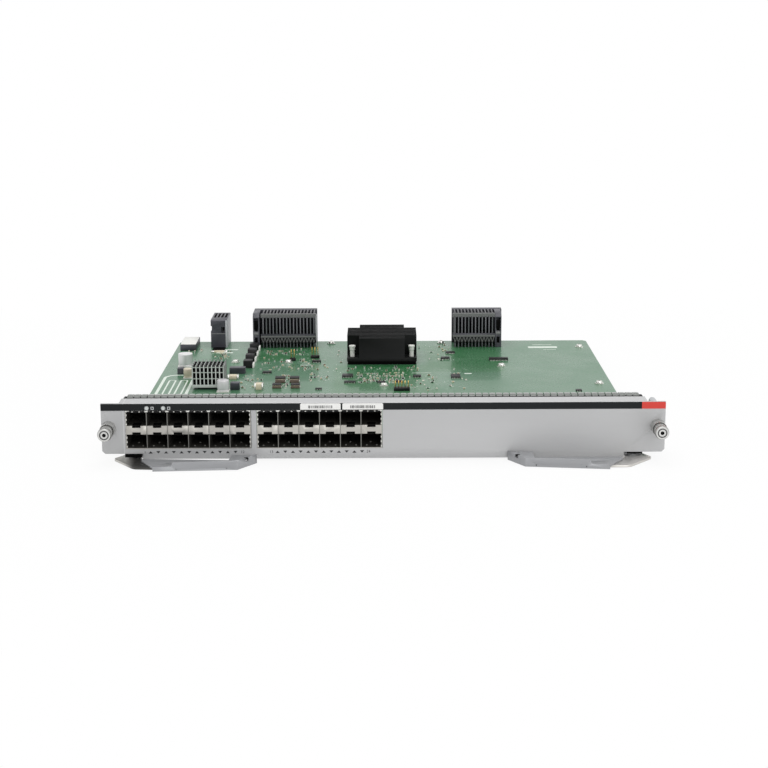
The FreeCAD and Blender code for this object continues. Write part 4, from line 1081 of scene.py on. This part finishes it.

# %% [markdown]
# The ejector lever's plate is stamped steel. Its cut edge is bright where the die sheared it, while the
# flat faces carry a painted reflection, dark on the left plate and light on the right. The height part of
# the face normal tells edge from flat face. The left plate also has painted shade towards the middle of the
# card, where the faceplate's shade falls. Two small dark pin holes show in the right finger grip as discs
# of painted shade, and a black disc of painted shade fills the round hole on top of each grip.

# %% Lever plates and grip holes
# Painted reflection and shade: the flat faces take a dark tone on the left plate and a light one on the
# right, and the left plate darkens towards the card's middle.
for side, tone, shade_strength in (("left", (0.46, 0.45, 0.43), 0.9), ("right", (0.78, 0.77, 0.76), 0.0)):
    steel = shaded_by_normal("lever steel " + side, (0.80, 0.79, 0.77), tone, "Z", 0.9, 0.98, 0.36, 0.5)
    shade_along(steel, "X", -177.0 * MM, -169.0 * MM, (0.08, 0.075, 0.07), shade_strength)
    eased("lever_plate_" + side, steel, 0.3)

PIN_HOLE_HEIGHT = 1.5
pin_holes = bmesh.new()
for x, y in ((103.4, -19.75), (136.9, -24.05)):
    ring_sign(pin_holes, x * MM, PIN_HOLE_HEIGHT * MM, 0.02 * MM, 0.65 * MM, 14, PANEL_FRONT + y * MM)
# Painted shade: the pin holes are dark discs, not cut holes.
mounted(dress(made_of("grip_pin_holes", pin_holes), ink_and_hole_shade), "lever_right")

GRIP_TOP = 5.5
# Painted shade: a black disc fills each grip's round hole.
SHADE_DISC_OUTLINE = ((0, -0.5), (1.7, -0.5), (1.7, 0.2), (1.45, 0.4), (0, 0.4))
for side, x, y in (("left", -93.1, -15.1), ("right", 91.6, -9.8)):
    shade_disc = made_of("grip_plug_" + side, turned(SHADE_DISC_OUTLINE, 24))
    shade_disc.data.transform(Matrix.Translation(across(x, y, GRIP_TOP)))
    mounted(dress(settle(shade_disc), gap_shade_black), "lever_" + side)
print("lever plates done")

# %% [markdown]
# The backplane connectors are stacks of thin wafers. Each wafer is a moulded frame whose front edge has a
# painted highlight, with a dark gap to its neighbour. Near the top a bar ties them, and low down a comb with
# slanted contacts ends in a row of windows of painted shade. The bars are simple strips across the whole
# stack, measured from the wafers themselves. The left stack ends in a pale side plate.

# %% Connector wafers
# Painted light: the wafers' front-facing faces are lighter than their sides.
wafer_lit_front_finish = shaded_by_normal("wafer moulding", (0.17, 0.17, 0.19), (0.44, 0.44, 0.46), "Y", 0.8, 0.95,
                                0.4, 0.0)
comb_finish = finish("comb moulding", (0.46, 0.46, 0.46), 0.42, scale=1600.0, drift=0.15, bump=0.1)
side_plate = finish("side plate moulding", (0.66, 0.67, 0.68), 0.45, scale=1500.0, drift=0.1, bump=0.08)
eased("signal_wafers", wafer_lit_front_finish, 0.22)
wafers = solids_of("signal_wafers")


def connector_bars():
    """Tie bars, slanted contacts over windows of painted shade, and the left stack's pale side plate."""
    shape = bmesh.new()
    for low, high in solids_of("signal_combs"):
        front, top = low.y, wafers[0][1].z
        inside = [(a.x + b.x) / 2 for a, b in wafers if low.x - MM < (a.x + b.x) / 2 < high.x + MM]
        half_pitch = (inside[1] - inside[0]) / 2
        add_box(shape, Vector((low.x, wafers[0][0].y + 0.6 * MM, top - 3.6 * MM)),
                Vector((high.x, wafers[0][0].y + 2.6 * MM, top - 0.2 * MM)), 0)
        # The second strip is painted shade for the comb's windows.
        for proud, bottom, lid, index in ((0.2, 3.0, 1.4, 0), (0.1, 8.0, 3.2, 1)):
            add_box(shape, Vector((low.x, front - proud * MM, high.z - bottom * MM)),
                    Vector((high.x, front, high.z - lid * MM)), index)
        for x in inside:
            for way in (-1, 1):
                head, half_wide = x + way * half_pitch * 0.9, 0.3 * MM
                contact = [(x - half_wide, high.z - 7.9 * MM), (x + half_wide, high.z - 7.9 * MM),
                           (head + half_wide, high.z - 3.3 * MM), (head - half_wide, high.z - 3.3 * MM)]
                flat_patch(shape, contact, front - 0.15 * MM)
        if high.x < 0:
            add_box(shape, Vector((high.x - 0.5 * MM, front, BOARD_TOP + 1.0 * MM)),
                    Vector((high.x, front + 14.0 * MM, top - 2.5 * MM)), 2)
    return settle(made_of("connector_bars", shape))


mounted(dress(connector_bars(), comb_finish, gap_shade_black, side_plate))
print("wafers", len(wafers))

# %% [markdown]
# The pin-fin heat sink is cross-cut, so from the front it shows bright fin ends, black gaps and a few
# bright cross edges. The fin ends carry painted light and the flanks painted shade, which the face normal
# draws. A dark block of painted shade stands for the depth between the fins. Under the large black heat
# sink, a dark strip of painted shade closes the gap to the board. The block and the strip are guessed for
# the look.

# %% Heat sink details
# Painted light and shade: fin ends facing the front are light, the flanks dark.
fin_painted_light = shaded_by_normal("fin aluminium", (0.27, 0.29, 0.28), (0.80, 0.82, 0.80), "Y", 0.6, 0.95,
                             0.45, 0.1)
eased("pin_fin_heat_sink", fin_painted_light, 0.08)


def heat_sink_details():
    """The fin block's dark core and bright cross edges, and the strip under the black heat sink, in painted
    shade.
    """
    shape = bmesh.new()
    low, high = corner_pair(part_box("pin_fin_heat_sink"))
    # Painted shade: the dark core between the fins.
    add_box(shape, low + Vector((0.4, 0.7, 2.0)) * MM, high - Vector((0.4, 0.7, 1.6)) * MM, 0)
    for drop in (1.9, 6.0, 11.0):
        add_box(shape, Vector((low.x + 0.2 * MM, low.y + 0.25 * MM, high.z - (drop + 0.35) * MM)),
                Vector((high.x - 0.2 * MM, low.y + 0.75 * MM, high.z - (drop - 0.35) * MM)), 1)
    # Painted shade: the dark strip between the black heat sink and the board.
    low, high = corner_pair(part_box("chip_heat_sink"))
    add_box(shape, Vector((low.x + 0.6 * MM, low.y + 0.2 * MM, BOARD_TOP)),
            Vector((high.x - 0.6 * MM, low.y + 2.2 * MM, low.z + 0.3 * MM)), 0)
    return settle(made_of("heat_sink_details", shape))


mounted(dress(heat_sink_details(), painted_shade_black, fin_painted_light))
print("heat sink details done")

# %% [markdown]
# The power connector is a tall moulding with a light side plate, a seam across its front, and blade slots
# in its top drawn dark as painted shade. The signal connectors' guide blocks have two recesses of painted
# shade with a light ledge between them. Each is a few thin boxes a little proud of the moulding, and a
# strip of painted shade lies on the board in front of the power connector.

# %% Connector details
def connector_details():
    """Side plate, seam and slots of the power connector, and the guide blocks' recesses and ledges."""
    shape = bmesh.new()
    low, high = corner_pair(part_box("power_connector"))
    add_box(shape, Vector((high.x - 1.5 * MM, low.y - 0.06 * MM, BOARD_TOP)),
            Vector((high.x + 0.04 * MM, high.y - 2.0 * MM, high.z - 0.5 * MM)), 0)
    add_box(shape, Vector((low.x + 0.4 * MM, low.y - 0.08 * MM, low.z + 13.6 * MM)),
            Vector((high.x - 1.6 * MM, low.y + 0.1 * MM, low.z + 14.2 * MM)), 2)
    # Painted shade: the blade slots, the small dark patch on the front, the strip on the board and the
    # recesses.
    for i in range(4):
        x = low.x + (2.6 + i * 3.2) * MM
        add_box(shape, Vector((x - 1.0 * MM, low.y + 12.0 * MM, high.z - 0.2 * MM)),
                Vector((x + 1.0 * MM, high.y - 4.0 * MM, high.z + 0.04 * MM)), 1)
    add_box(shape, Vector((high.x - 3.6 * MM, low.y - 0.07 * MM, low.z + 17.0 * MM)),
            Vector((high.x - 2.2 * MM, low.y + 0.1 * MM, low.z + 20.0 * MM)), 1)
    add_box(shape, Vector((low.x + 2.2 * MM, low.y - 14.0 * MM, BOARD_TOP)),
            Vector((high.x - 1.5 * MM, low.y - 0.2 * MM, BOARD_TOP + 0.5 * MM)), 1)
    for low, high in solids_of("signal_guides"):
        for bottom, top, index, inset in ((15.0, 24.5, 1, 1.3), (11.6, 14.0, 2, 0.8), (4.0, 9.5, 1, 1.6)):
            add_box(shape, Vector((low.x + inset * MM, low.y - 0.08 * MM, low.z + bottom * MM)),
                    Vector((high.x - inset * MM, low.y + 0.1 * MM, low.z + top * MM)), index)
    return settle(bevelled(made_of("connector_details", shape), 0.03))


mounted(dress(connector_details(), side_plate, painted_shade_black, comb_finish))
print("connector details done")

# %% [markdown]
# Under the faceplate's raised ends the photograph shows only dark between the panel's edge and the lever.
# What makes it dark can't be seen, so a small black baffle of painted shade stands in for it on each side.

# %% Painted shade under the panel ends
def end_baffles():
    """A thin black plate of painted shade under each raised end."""
    shape = bmesh.new()
    for near, far, bottom in ((-177.5, -166.0, 2.2), (167.5, 178.0, 3.4)):
        add_box(shape, across(near, 0.5, bottom), across(far, 1.6, 4.6))
    return settle(made_of("end_baffles", shape))


mounted(dress(end_baffles(), painted_shade_black))
print("end baffles done")

# %% [markdown]
# The cans are aluminium cups rolled in near their foot on a square moulded base. The three differ in
# colour: plain metal, a cream sleeve and a white one.

# %% Capacitors
can_cream = finish("cream can", (0.80, 0.76, 0.68), 0.4, 0.1, ALONG_Z, 1200.0, 0.08, 0.05)
can_white = finish("white can", (0.86, 0.85, 0.86), 0.36, 0.2, ALONG_Z, 1200.0, 0.06, 0.05)


def can_shape(radius, height, foot):
    """A can with a rolled neck near its foot and a slightly sunken top, on a square base."""
    neck = [(0, foot), (radius * 0.92, foot), (radius * 0.96, foot + 0.5), (radius * 0.9, foot + 1.0)]
    wall = [(radius * 0.985, foot + 1.6), (radius * 0.985, height - 0.6), (radius * 0.94, height - 0.15)]
    top = [(radius * 0.86, height), (radius * 0.8, height - 0.12), (0, height - 0.12)]
    shape = turned(neck + wall + top, 48)
    add_box(shape, Vector((-radius, -radius, 0.0)) * MM, Vector((radius, radius, foot)) * MM, 1)
    return shape


can_boxes = solids_of("capacitors")
for index, (pair, look) in enumerate(zip(can_boxes, (finishes["can_metal"], can_cream, can_white))):
    low, high = pair
    can = made_of("can_" + str(index + 1), can_shape((high.x - low.x) / 2 / MM, (high.z - low.z) / MM, 1.0))
    can.data.transform(Matrix.Translation(foot_of(pair)))
    mounted(dress(settle(can, 30.0), look, finishes["white_plastic"]), CARD, ("capacitors",))
print("cans", len(can_boxes))

# %% [markdown]
# The push pins are white mouldings with hollow heads that hold the heat sink down. The guide pin is a
# turned rod with a tapered nose. Both are lathe shapes whose length comes from their construction node.

# %% Push pins and guide pin
pin_boxes = solids_of("push_pins")
pin_tall = (pin_boxes[0][1].z - pin_boxes[0][0].z) / MM
pin_shape = turned([(0, 0), (1.9, 0), (1.9, pin_tall - 4.2), (2.3, pin_tall - 3.8), (2.3, pin_tall - 1.9),
                    (2.75, pin_tall - 1.5), (2.75, pin_tall - 0.3), (2.5, pin_tall), (1.3, pin_tall),
                    (1.1, pin_tall - 1.2), (0, pin_tall - 1.2)], 28)
pin_spots = [foot_of(pair) for pair in pin_boxes]
mounted(copies("push_pin_shapes", pin_shape, pin_spots, finishes["white_plastic"]), CARD,
        ("push_pins",))

guide_low, guide_high = corner_pair(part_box("guide_pin"))
guide_long = (guide_high.y - guide_low.y) / MM
guide_outline = [(0, 0), (1.4, 0), (2.1, 0.8), (2.48, 2.6), (2.48, guide_long - 0.6), (2.1, guide_long),
                 (0, guide_long)]
guide = made_of("guide_pin_shape", turned(guide_outline, 36))
guide_middle = (guide_low + guide_high) / 2
facing_front(guide, Vector((guide_middle.x, guide_high.y, guide_middle.z)))
mounted(dress(settle(guide, 30.0), finishes["tray_steel"]), CARD, ("guide_pin",))
print("push pins", len(pin_boxes))

# %% [markdown]
# Power inductors are pressed from ferrite powder: a black lid, a pale gap where the winding shows, and a
# brown body with bright end terminals. Ceramic blocks have tinned ends. They are stacked from boxes in one
# mesh with several materials, and a small bevel rounds them off.

# %% Inductors and ceramic blocks
def inductor_bodies():
    """Body, pale gap, black lid and end terminals of every inductor."""
    shape = bmesh.new()
    for low, high in solids_of("inductors"):
        tall = high.z - low.z
        lid, gap = low.z + tall * 0.78, low.z + tall * 0.62
        inset = Vector((0.3, 0.3, 0.0)) * MM
        add_box(shape, low, Vector((high.x, high.y, gap)), 0)
        add_box(shape, Vector((low.x, low.y, gap)) + inset, Vector((high.x, high.y, lid)) - inset, 1)
        add_box(shape, Vector((low.x, low.y, lid)), high, 2)
        for x in (low.x, high.x):
            add_box(shape, Vector((x - 0.25 * MM, low.y + 1.2 * MM, low.z)),
                    Vector((x + 0.25 * MM, high.y - 1.2 * MM, low.z + tall * 0.4)), 3)
    return settle(bevelled(made_of("inductor_bodies", shape), 0.12))


def ceramic_bodies():
    """Every ceramic block with its two tinned ends."""
    shape = bmesh.new()
    for low, high in solids_of("ceramic_parts"):
        end = Vector(((high.x - low.x) * 0.18, 0.0, 0.0))
        add_box(shape, low + end, high - end, 0)
        add_box(shape, low, Vector((low.x + end.x, high.y, high.z)), 1)
        add_box(shape, Vector((high.x - end.x, low.y, low.z)), high, 1)
    return settle(bevelled(made_of("ceramic_bodies", shape), 0.15))


inductor_finishes = (finishes["ferrite"], finishes["cream_plastic"], finishes["black_plastic"], tinned)
mounted(dress(inductor_bodies(), *inductor_finishes), CARD, ("inductors",))
mounted(dress(ceramic_bodies(), finishes["cream_plastic"], tinned), CARD, ("ceramic_parts",))
print("inductors and ceramic blocks done")

# %% [markdown]
# Chips stand on two rows of bent legs. A leg is two small boxes, and the copies tree sets one at every
# pitch along the front and, mirrored, along the rear of each chip.

# %% Chip legs
def leg_shape(way):
    """One bent leg: a foot on the board and a riser beside the body. The way is -1 for the front row."""
    shape = bmesh.new()
    far, near = sorted((way * 0.75, -way * 0.1))
    add_box(shape, Vector((-0.22, far, 0.0)) * MM, Vector((0.22, near, 0.16)) * MM)
    add_box(shape, Vector((-0.22, -0.12, 0.0)) * MM, Vector((0.22, 0.12, 0.75)) * MM)
    return shape


LEG_PITCH = 1.27 * MM
leg_rows = {-1: [], 1: []}
for low, high in solids_of("board_chips"):
    count = int((high.x - low.x) / LEG_PITCH)
    for i in range(count):
        x = (low.x + high.x) / 2 + (i - (count - 1) / 2) * LEG_PITCH
        leg_rows[-1].append(Vector((x, low.y, low.z)))
        leg_rows[1].append(Vector((x, high.y, low.z)))
for way, name in ((-1, "chip_front_legs"), (1, "chip_rear_legs")):
    mounted(copies(name, leg_shape(way), leg_rows[way], tinned))
print("chip legs", sum(len(row) for row in leg_rows.values()))

# %% [markdown]
# Hundreds of tiny capacitors and resistors sit between the big parts. Each is a small block with bright
# ends. A tree scatters them over free tiles of the board with a least distance, turns some by a quarter,
# and stores a random tone on each copy, which the material reads to make some brown, some cream and some
# black.

# %% Scatter tree
def build_scatter_tree():
    """Sets copies at random on the faces of a mesh, with a random turn, size and tone."""
    tree, start, end = new_geometry_tree("Scattered chip parts", [
        ("Copy", "NodeSocketObject"), ("Least Gap", "NodeSocketFloat"), ("Density", "NodeSocketFloat"),
        ("Seed", "NodeSocketInt"), ("Material", "NodeSocketMaterial")])
    spread = node(tree, "GeometryNodeDistributePointsOnFaces", distribute_method="POISSON")
    tree.links.new(start.outputs["Least Gap"], spread.inputs["Distance Min"])
    tree.links.new(start.outputs["Density"], spread.inputs["Density Max"])
    tree.links.new(start.outputs["Seed"], spread.inputs["Seed"])
    source = tree.nodes.new("GeometryNodeObjectInfo")
    tree.links.new(start.outputs["Copy"], source.inputs["Object"])
    quarter = node(tree, "FunctionNodeRandomValue", data_type="INT")
    quarter.inputs[4].default_value = 0
    quarter.inputs[5].default_value = 1
    tree.links.new(start.outputs["Seed"], quarter.inputs["Seed"])
    turn = tree.nodes.new("ShaderNodeCombineXYZ")
    tree.links.new(math_node(tree, "MULTIPLY", quarter.outputs[2], math.pi / 2), turn.inputs["Z"])
    size = node(tree, "FunctionNodeRandomValue", data_type="FLOAT_VECTOR")
    size.inputs[0].default_value = (0.7, 0.7, 0.6)
    size.inputs[1].default_value = (1.5, 1.3, 1.4)
    place = tree.nodes.new("GeometryNodeInstanceOnPoints")
    tree.links.new(source.outputs["Geometry"], place.inputs["Instance"])
    tree.links.new(turn.outputs[0], place.inputs["Rotation"])
    tree.links.new(size.outputs[0], place.inputs["Scale"])
    tone = node(tree, "FunctionNodeRandomValue", {"Seed": 11}, data_type="FLOAT")
    keep = node(tree, "GeometryNodeStoreNamedAttribute", {"Name": "tone"}, data_type="FLOAT",
                domain="INSTANCE")
    tree.links.new(tone.outputs[1], keep.inputs["Value"])
    chain(tree, start, spread, place, keep)
    return realized(tree, start, keep, end)


def make_chip_part_finish():
    """Body colour from the copy's tone, and tinned ends from the mark on the mesh."""
    material = finish("chip parts", (0.5, 0.4, 0.3), 0.4, scale=2000.0, drift=0.2, bump=0.1)
    tree = material.node_tree
    tone = node(tree, "ShaderNodeAttribute", attribute_name="tone")
    ends = node(tree, "ShaderNodeAttribute", attribute_name="terminal")
    is_brown, is_cream = [span(tree, tone.outputs["Fac"], limit, limit + 0.04, 0.0, 1.0)
                          for limit in (0.30, 0.62)]
    brown = mix_colour(tree, is_brown, linear((0.10, 0.10, 0.11)), linear((0.50, 0.41, 0.32)))
    cream = mix_colour(tree, is_cream, brown, linear((0.80, 0.74, 0.62)))
    capped = mix_colour(tree, ends.outputs["Fac"], cream, linear((0.88, 0.88, 0.86)))
    shader = tree.nodes["Principled BSDF"]
    tree.links.new(capped, shader.inputs["Base Color"])
    tree.links.new(math_node(tree, "MULTIPLY", ends.outputs["Fac"], 0.8), shader.inputs["Metallic"])
    return material


def chip_part_shape():
    """A small block whose two ends are marked as terminals."""
    shape = bmesh.new()
    mark = shape.faces.layers.float.new("terminal")
    terminal, body = (1.0, 0.03), (0.0, 0.0)
    for left, right, (value, proud) in ((-1.0, -0.6, terminal), (-0.6, 0.6, body), (0.6, 1.0, terminal)):
        before = set(shape.faces)
        add_box(shape, Vector((left, -0.55 - proud, 0.0)) * MM,
                Vector((right, 0.55 + proud, 0.7 + proud)) * MM)
        for face in set(shape.faces) - before:
            face[mark] = value
    return shape


print("scatter tree ready")

# %% [markdown]
# The patches name the busy areas of the board in millimetres, with how many small parts each holds. Tiles
# under a larger part are left out, so that no small part grows out of a big one.

# %% Small chip parts
patches = ((-22, 18, 199, 238, 90), (-84, -76, 182, 230, 28), (-72, -58, 246, 300, 22),
           (18, 44, 172, 238, 18), (-146, -132, 290, 327, 22), (-172, -158, 316, 352, 14),
           (-116, -97, 180, 234, 20), (-104, -74, 246, 300, 24), (-30, 30, 244, 263, 22),
           (47, 70, 178, 252, 12), (-105, -60, 308, 336, 26), (-56, -34, 236, 326, 10),
           (38, 66, 284, 334, 10), (-60, -44, 206, 240, 14), (30, 60, 330, 352, 6))
larger_parts = ("board_chips", "inductors", "ceramic_parts", "header_bases", "module_row", "push_pins",
                "power_modules", "capacitors", "star_washers", "pin_fin_chip", "power_connector")
blocked = [pair for name in larger_parts for pair in solids_of(name)]
KEEP_OFF = 1.8 * MM


def is_free(spot):
    """Whether a place on the board has no larger part on or beside it."""
    return not any(low.x - KEEP_OFF < spot.x < high.x + KEEP_OFF
                   and low.y - KEEP_OFF < spot.y < high.y + KEEP_OFF for low, high in blocked)


def add_ground(shape, spot, wide, deep, level):
    """A flat tile that faces up."""
    shape.faces.new([shape.verts.new((spot.x + x, spot.y + y, level))
                     for x, y in rectangle(-wide / 2, -deep / 2, wide / 2, deep / 2)])


def board_tiles():
    """Small flat tiles in every patch that no larger part covers."""
    shape = bmesh.new()
    dice = random.Random(21)
    tile = 2.6
    for left, right, front, rear, wanted in patches:
        spots = [(left + tile * (i + 0.5), front + tile * (j + 0.5))
                 for i in range(int((right - left) / tile)) for j in range(int((rear - front) / tile))]
        dice.shuffle(spots)
        for x, y in spots[:wanted]:
            if is_free(across(x, y)):
                add_ground(shape, across(x, y), 1.4 * MM, 1.4 * MM, BOARD_TOP)
    return shape


pattern = made_of("chip_part_pattern", chip_part_shape())
chip_parts = run_tree(made_of("chip_parts", board_tiles()), build_scatter_tree(),
                      {"Copy": pattern, "Least Gap": 2.2 * MM, "Density": 900000.0, "Seed": 3,
                       "Material": make_chip_part_finish()})
bpy.data.objects.remove(pattern)
mounted(chip_parts)
print("small parts", len(chip_parts.data.polygons) // 18)

# %% [markdown]
# The board's white print shows footprints and outlines. Only plain shapes are drawn here: three rounded
# outlines at the front left, short bars by the larger parts, and ticks among the small ones. All are flat
# and lie just above the lacquer.

# %% Board print
def rounded_outline(left, right, front, rear, radius):
    """Points of a rectangle with rounded corners, from millimetres on the board."""
    points = []
    for cx, cy, start in ((right - radius, rear - radius, 0), (left + radius, rear - radius, 90),
                          (left + radius, front + radius, 180), (right - radius, front + radius, 270)):
        for step in range(7):
            angle = math.radians(start + step * 15)
            points.append(across(cx + radius * math.cos(angle), cy + radius * math.sin(angle)).to_2d())
    return points


def outline_band(shape, left, right, front, rear, radius, width, level):
    """A flat band just inside a rounded rectangle."""
    outer = rounded_outline(left, right, front, rear, radius)
    inner = rounded_outline(left + width, right - width, front + width, rear - width, radius - width)
    rings = [[shape.verts.new((*point, level)) for point in ring] for ring in (outer, inner)]
    for i in range(len(outer)):
        j = (i + 1) % len(outer)
        shape.faces.new((rings[0][i], rings[0][j], rings[1][j], rings[1][i]))


def board_print():
    """Outlines, bars and ticks in white ink."""
    shape = bmesh.new()
    level = BOARD_TOP + 0.03 * MM
    for outline in ((-179.5, -153.5, 120.0, 233.0, 11.0, 2.4), (-174.0, -167.6, 150.0, 214.0, 3.0, 1.3),
                    (-164.5, -158.0, 150.0, 214.0, 3.0, 1.3)):
        outline_band(shape, *outline, level)
    for left, right, front, rear in ((128.5, 154.2, 335.5, 342.0), (133.0, 150.0, 348.5, 350.0),
                                     (141.0, 152.0, 328.0, 329.2), (-146.0, -131.5, 318.5, 322.5),
                                     (-149.0, -128.0, 331.5, 335.0), (-70.0, -61.0, 268.0, 270.0),
                                     (-68.0, -62.0, 276.0, 277.5), (-14.0, -4.0, 236.0, 237.0),
                                     (24.0, 40.0, 236.5, 237.3), (67.0, 73.0, 232.0, 235.0)):
        low, high = across(left, front), across(right, rear)
        add_ground(shape, (low + high) / 2, high.x - low.x, high.y - low.y, level)
    dice = random.Random(5)
    for left, right, front, rear, wanted in patches:
        for _ in range(wanted):
            spot = across(dice.uniform(left, right), dice.uniform(front, rear))
            wide, deep = dice.choice(((1.8, 0.35), (0.35, 1.8), (1.0, 1.0), (2.6, 0.35)))
            if is_free(spot):
                add_ground(shape, spot, wide * MM, deep * MM, level)
    return made_of("board_print", shape)


def module_labels():
    """The white strips beside the four dark modules and the pale lid of the long module."""
    shape = bmesh.new()
    for low, high in solids_of("module_row"):
        add_box(shape, Vector((high.x + 0.1 * MM, low.y, low.z)),
                Vector((high.x + 1.5 * MM, high.y, high.z - 2.6 * MM)))
    low, high = max(solids_of("power_modules"), key=lambda pair: pair[1].y - pair[0].y)
    add_box(shape, Vector((low.x + 0.2 * MM, low.y + 0.4 * MM, high.z)),
            Vector((high.x - 0.2 * MM, high.y - 0.4 * MM, high.z + 0.12 * MM)))
    return settle(bevelled(made_of("module_labels", shape), 0.05))


prints = mounted(dress(board_print(), silk_ink))
mounted(dress(module_labels(), finishes["white_plastic"]))
print("board print faces", len(prints.data.polygons))

# %% [markdown]
# The photograph is taken from straight ahead and a little above, with a long lens. The camera's distance,
# height and lens were worked out from the card's corners.

# %% Camera
CAMERA_BACK = 1093.7
CAMERA_HEIGHT = 306.5
CAMERA_TILT = 13.03
CAMERA_ROLL = 0.24
CAMERA_SIDE = 0.66
CAMERA_LENS = 77.34

camera_data = bpy.data.cameras.new("photo camera")
camera_data.lens = CAMERA_LENS
camera_data.sensor_width = 36.0
camera_data.clip_end = 20.0
camera = bpy.data.objects.new("photo camera", camera_data)
camera.location = across(CAMERA_SIDE, -CAMERA_BACK, CAMERA_HEIGHT)
camera.rotation_euler = (math.radians(90.0 - CAMERA_TILT), 0.0, 0.0)
camera.rotation_euler.rotate_axis("Z", math.radians(-CAMERA_ROLL))
bpy.context.scene.collection.objects.link(camera)
bpy.context.scene.camera = camera
bpy.context.scene.view_settings.view_transform = "Standard"
print("camera at", [round(v, 4) for v in camera.location])

# %% [markdown]
# The floor must look white and still carry the card's soft shadow. Its material shows most of its light as
# plain white to the camera and to mirrors, and the rest as lit paint. The share of plain white grows with
# the distance from the card, so that no horizon shows.

# %% Floor
def white_share(tree, share):
    """A factor that only the camera, mirrors and clear pieces see."""
    paths = node(tree, "ShaderNodeLightPath")
    seen = 0.0
    for ray in ("Is Camera Ray", "Is Glossy Ray", "Is Transmission Ray"):
        seen = math_node(tree, "MAXIMUM", seen, paths.outputs[ray])
    return math_node(tree, "MULTIPLY", seen, share)


def make_floor():
    """A wide flat floor at the height of the card's underside."""
    mesh = bpy.data.meshes.new("floor")
    half = 6.0
    mesh.from_pydata([(x, y, 0) for x, y in rectangle(-half, -half, half, half)], [], [(0, 1, 2, 3)])
    material = bpy.data.materials.new("floor paint")
    material.use_nodes = True
    tree = material.node_tree
    shader = tree.nodes["Principled BSDF"]
    shader.inputs["Base Color"].default_value = linear((0.93, 0.93, 0.93))
    shader.inputs["Roughness"].default_value = 0.9
    glow = node(tree, "ShaderNodeEmission", {"Strength": 1.0, "Color": (1.0, 1.0, 1.0, 1.0)})
    far = node(tree, "ShaderNodeVectorMath", operation="LENGTH")
    tree.links.new(node(tree, "ShaderNodeTexCoord").outputs["Object"], far.inputs[0])
    mix = node(tree, "ShaderNodeMixShader")
    tree.links.new(white_share(tree, span(tree, far.outputs["Value"], 0.22, 0.55, 0.86, 1.0)), mix.inputs[0])
    tree.links.new(shader.outputs[0], mix.inputs[1])
    tree.links.new(glow.outputs[0], mix.inputs[2])
    tree.links.new(mix.outputs[0], tree.nodes["Material Output"].inputs["Surface"])
    dress(link("floor", mesh), material)


make_floor()
print("floor laid")

# %% [markdown]
# The light is a white room with a large soft lamp overhead and a weaker one in front, so that the faceplate
# stays an even light grey. The room itself is pure white only where the camera or a mirror looks at it.

# %% Light
def area_lamp(name, place, aim, size, power):
    """A square soft lamp that looks at a point."""
    data = bpy.data.lights.new(name, "AREA")
    data.size = size
    data.energy = power
    lamp = bpy.data.objects.new(name, data)
    lamp.location = place
    lamp.rotation_euler = (Vector(aim) - Vector(place)).to_track_quat("-Z", "Y").to_euler()
    bpy.context.scene.collection.objects.link(lamp)


area_lamp("overhead lamp", (0.0, 0.1, 1.6), (0.0, 0.0, 0.0), 1.6, 15.5)
area_lamp("front lamp", (0.75, -1.7, 0.7), (0.05, -0.1, 0.0), 1.4, 9.0)

ROOM_LIGHT = 0.62
world = bpy.data.worlds.new("white room")
bpy.context.scene.world = world
world.use_nodes = True
sky = world.node_tree.nodes["Background"]
sky.inputs["Color"].default_value = (1.0, 1.0, 1.0, 1.0)
extra = white_share(world.node_tree, 1.0 - ROOM_LIGHT)
world.node_tree.links.new(math_node(world.node_tree, "ADD", extra, ROOM_LIGHT), sky.inputs["Strength"])
print("lamps", len(bpy.data.lights))
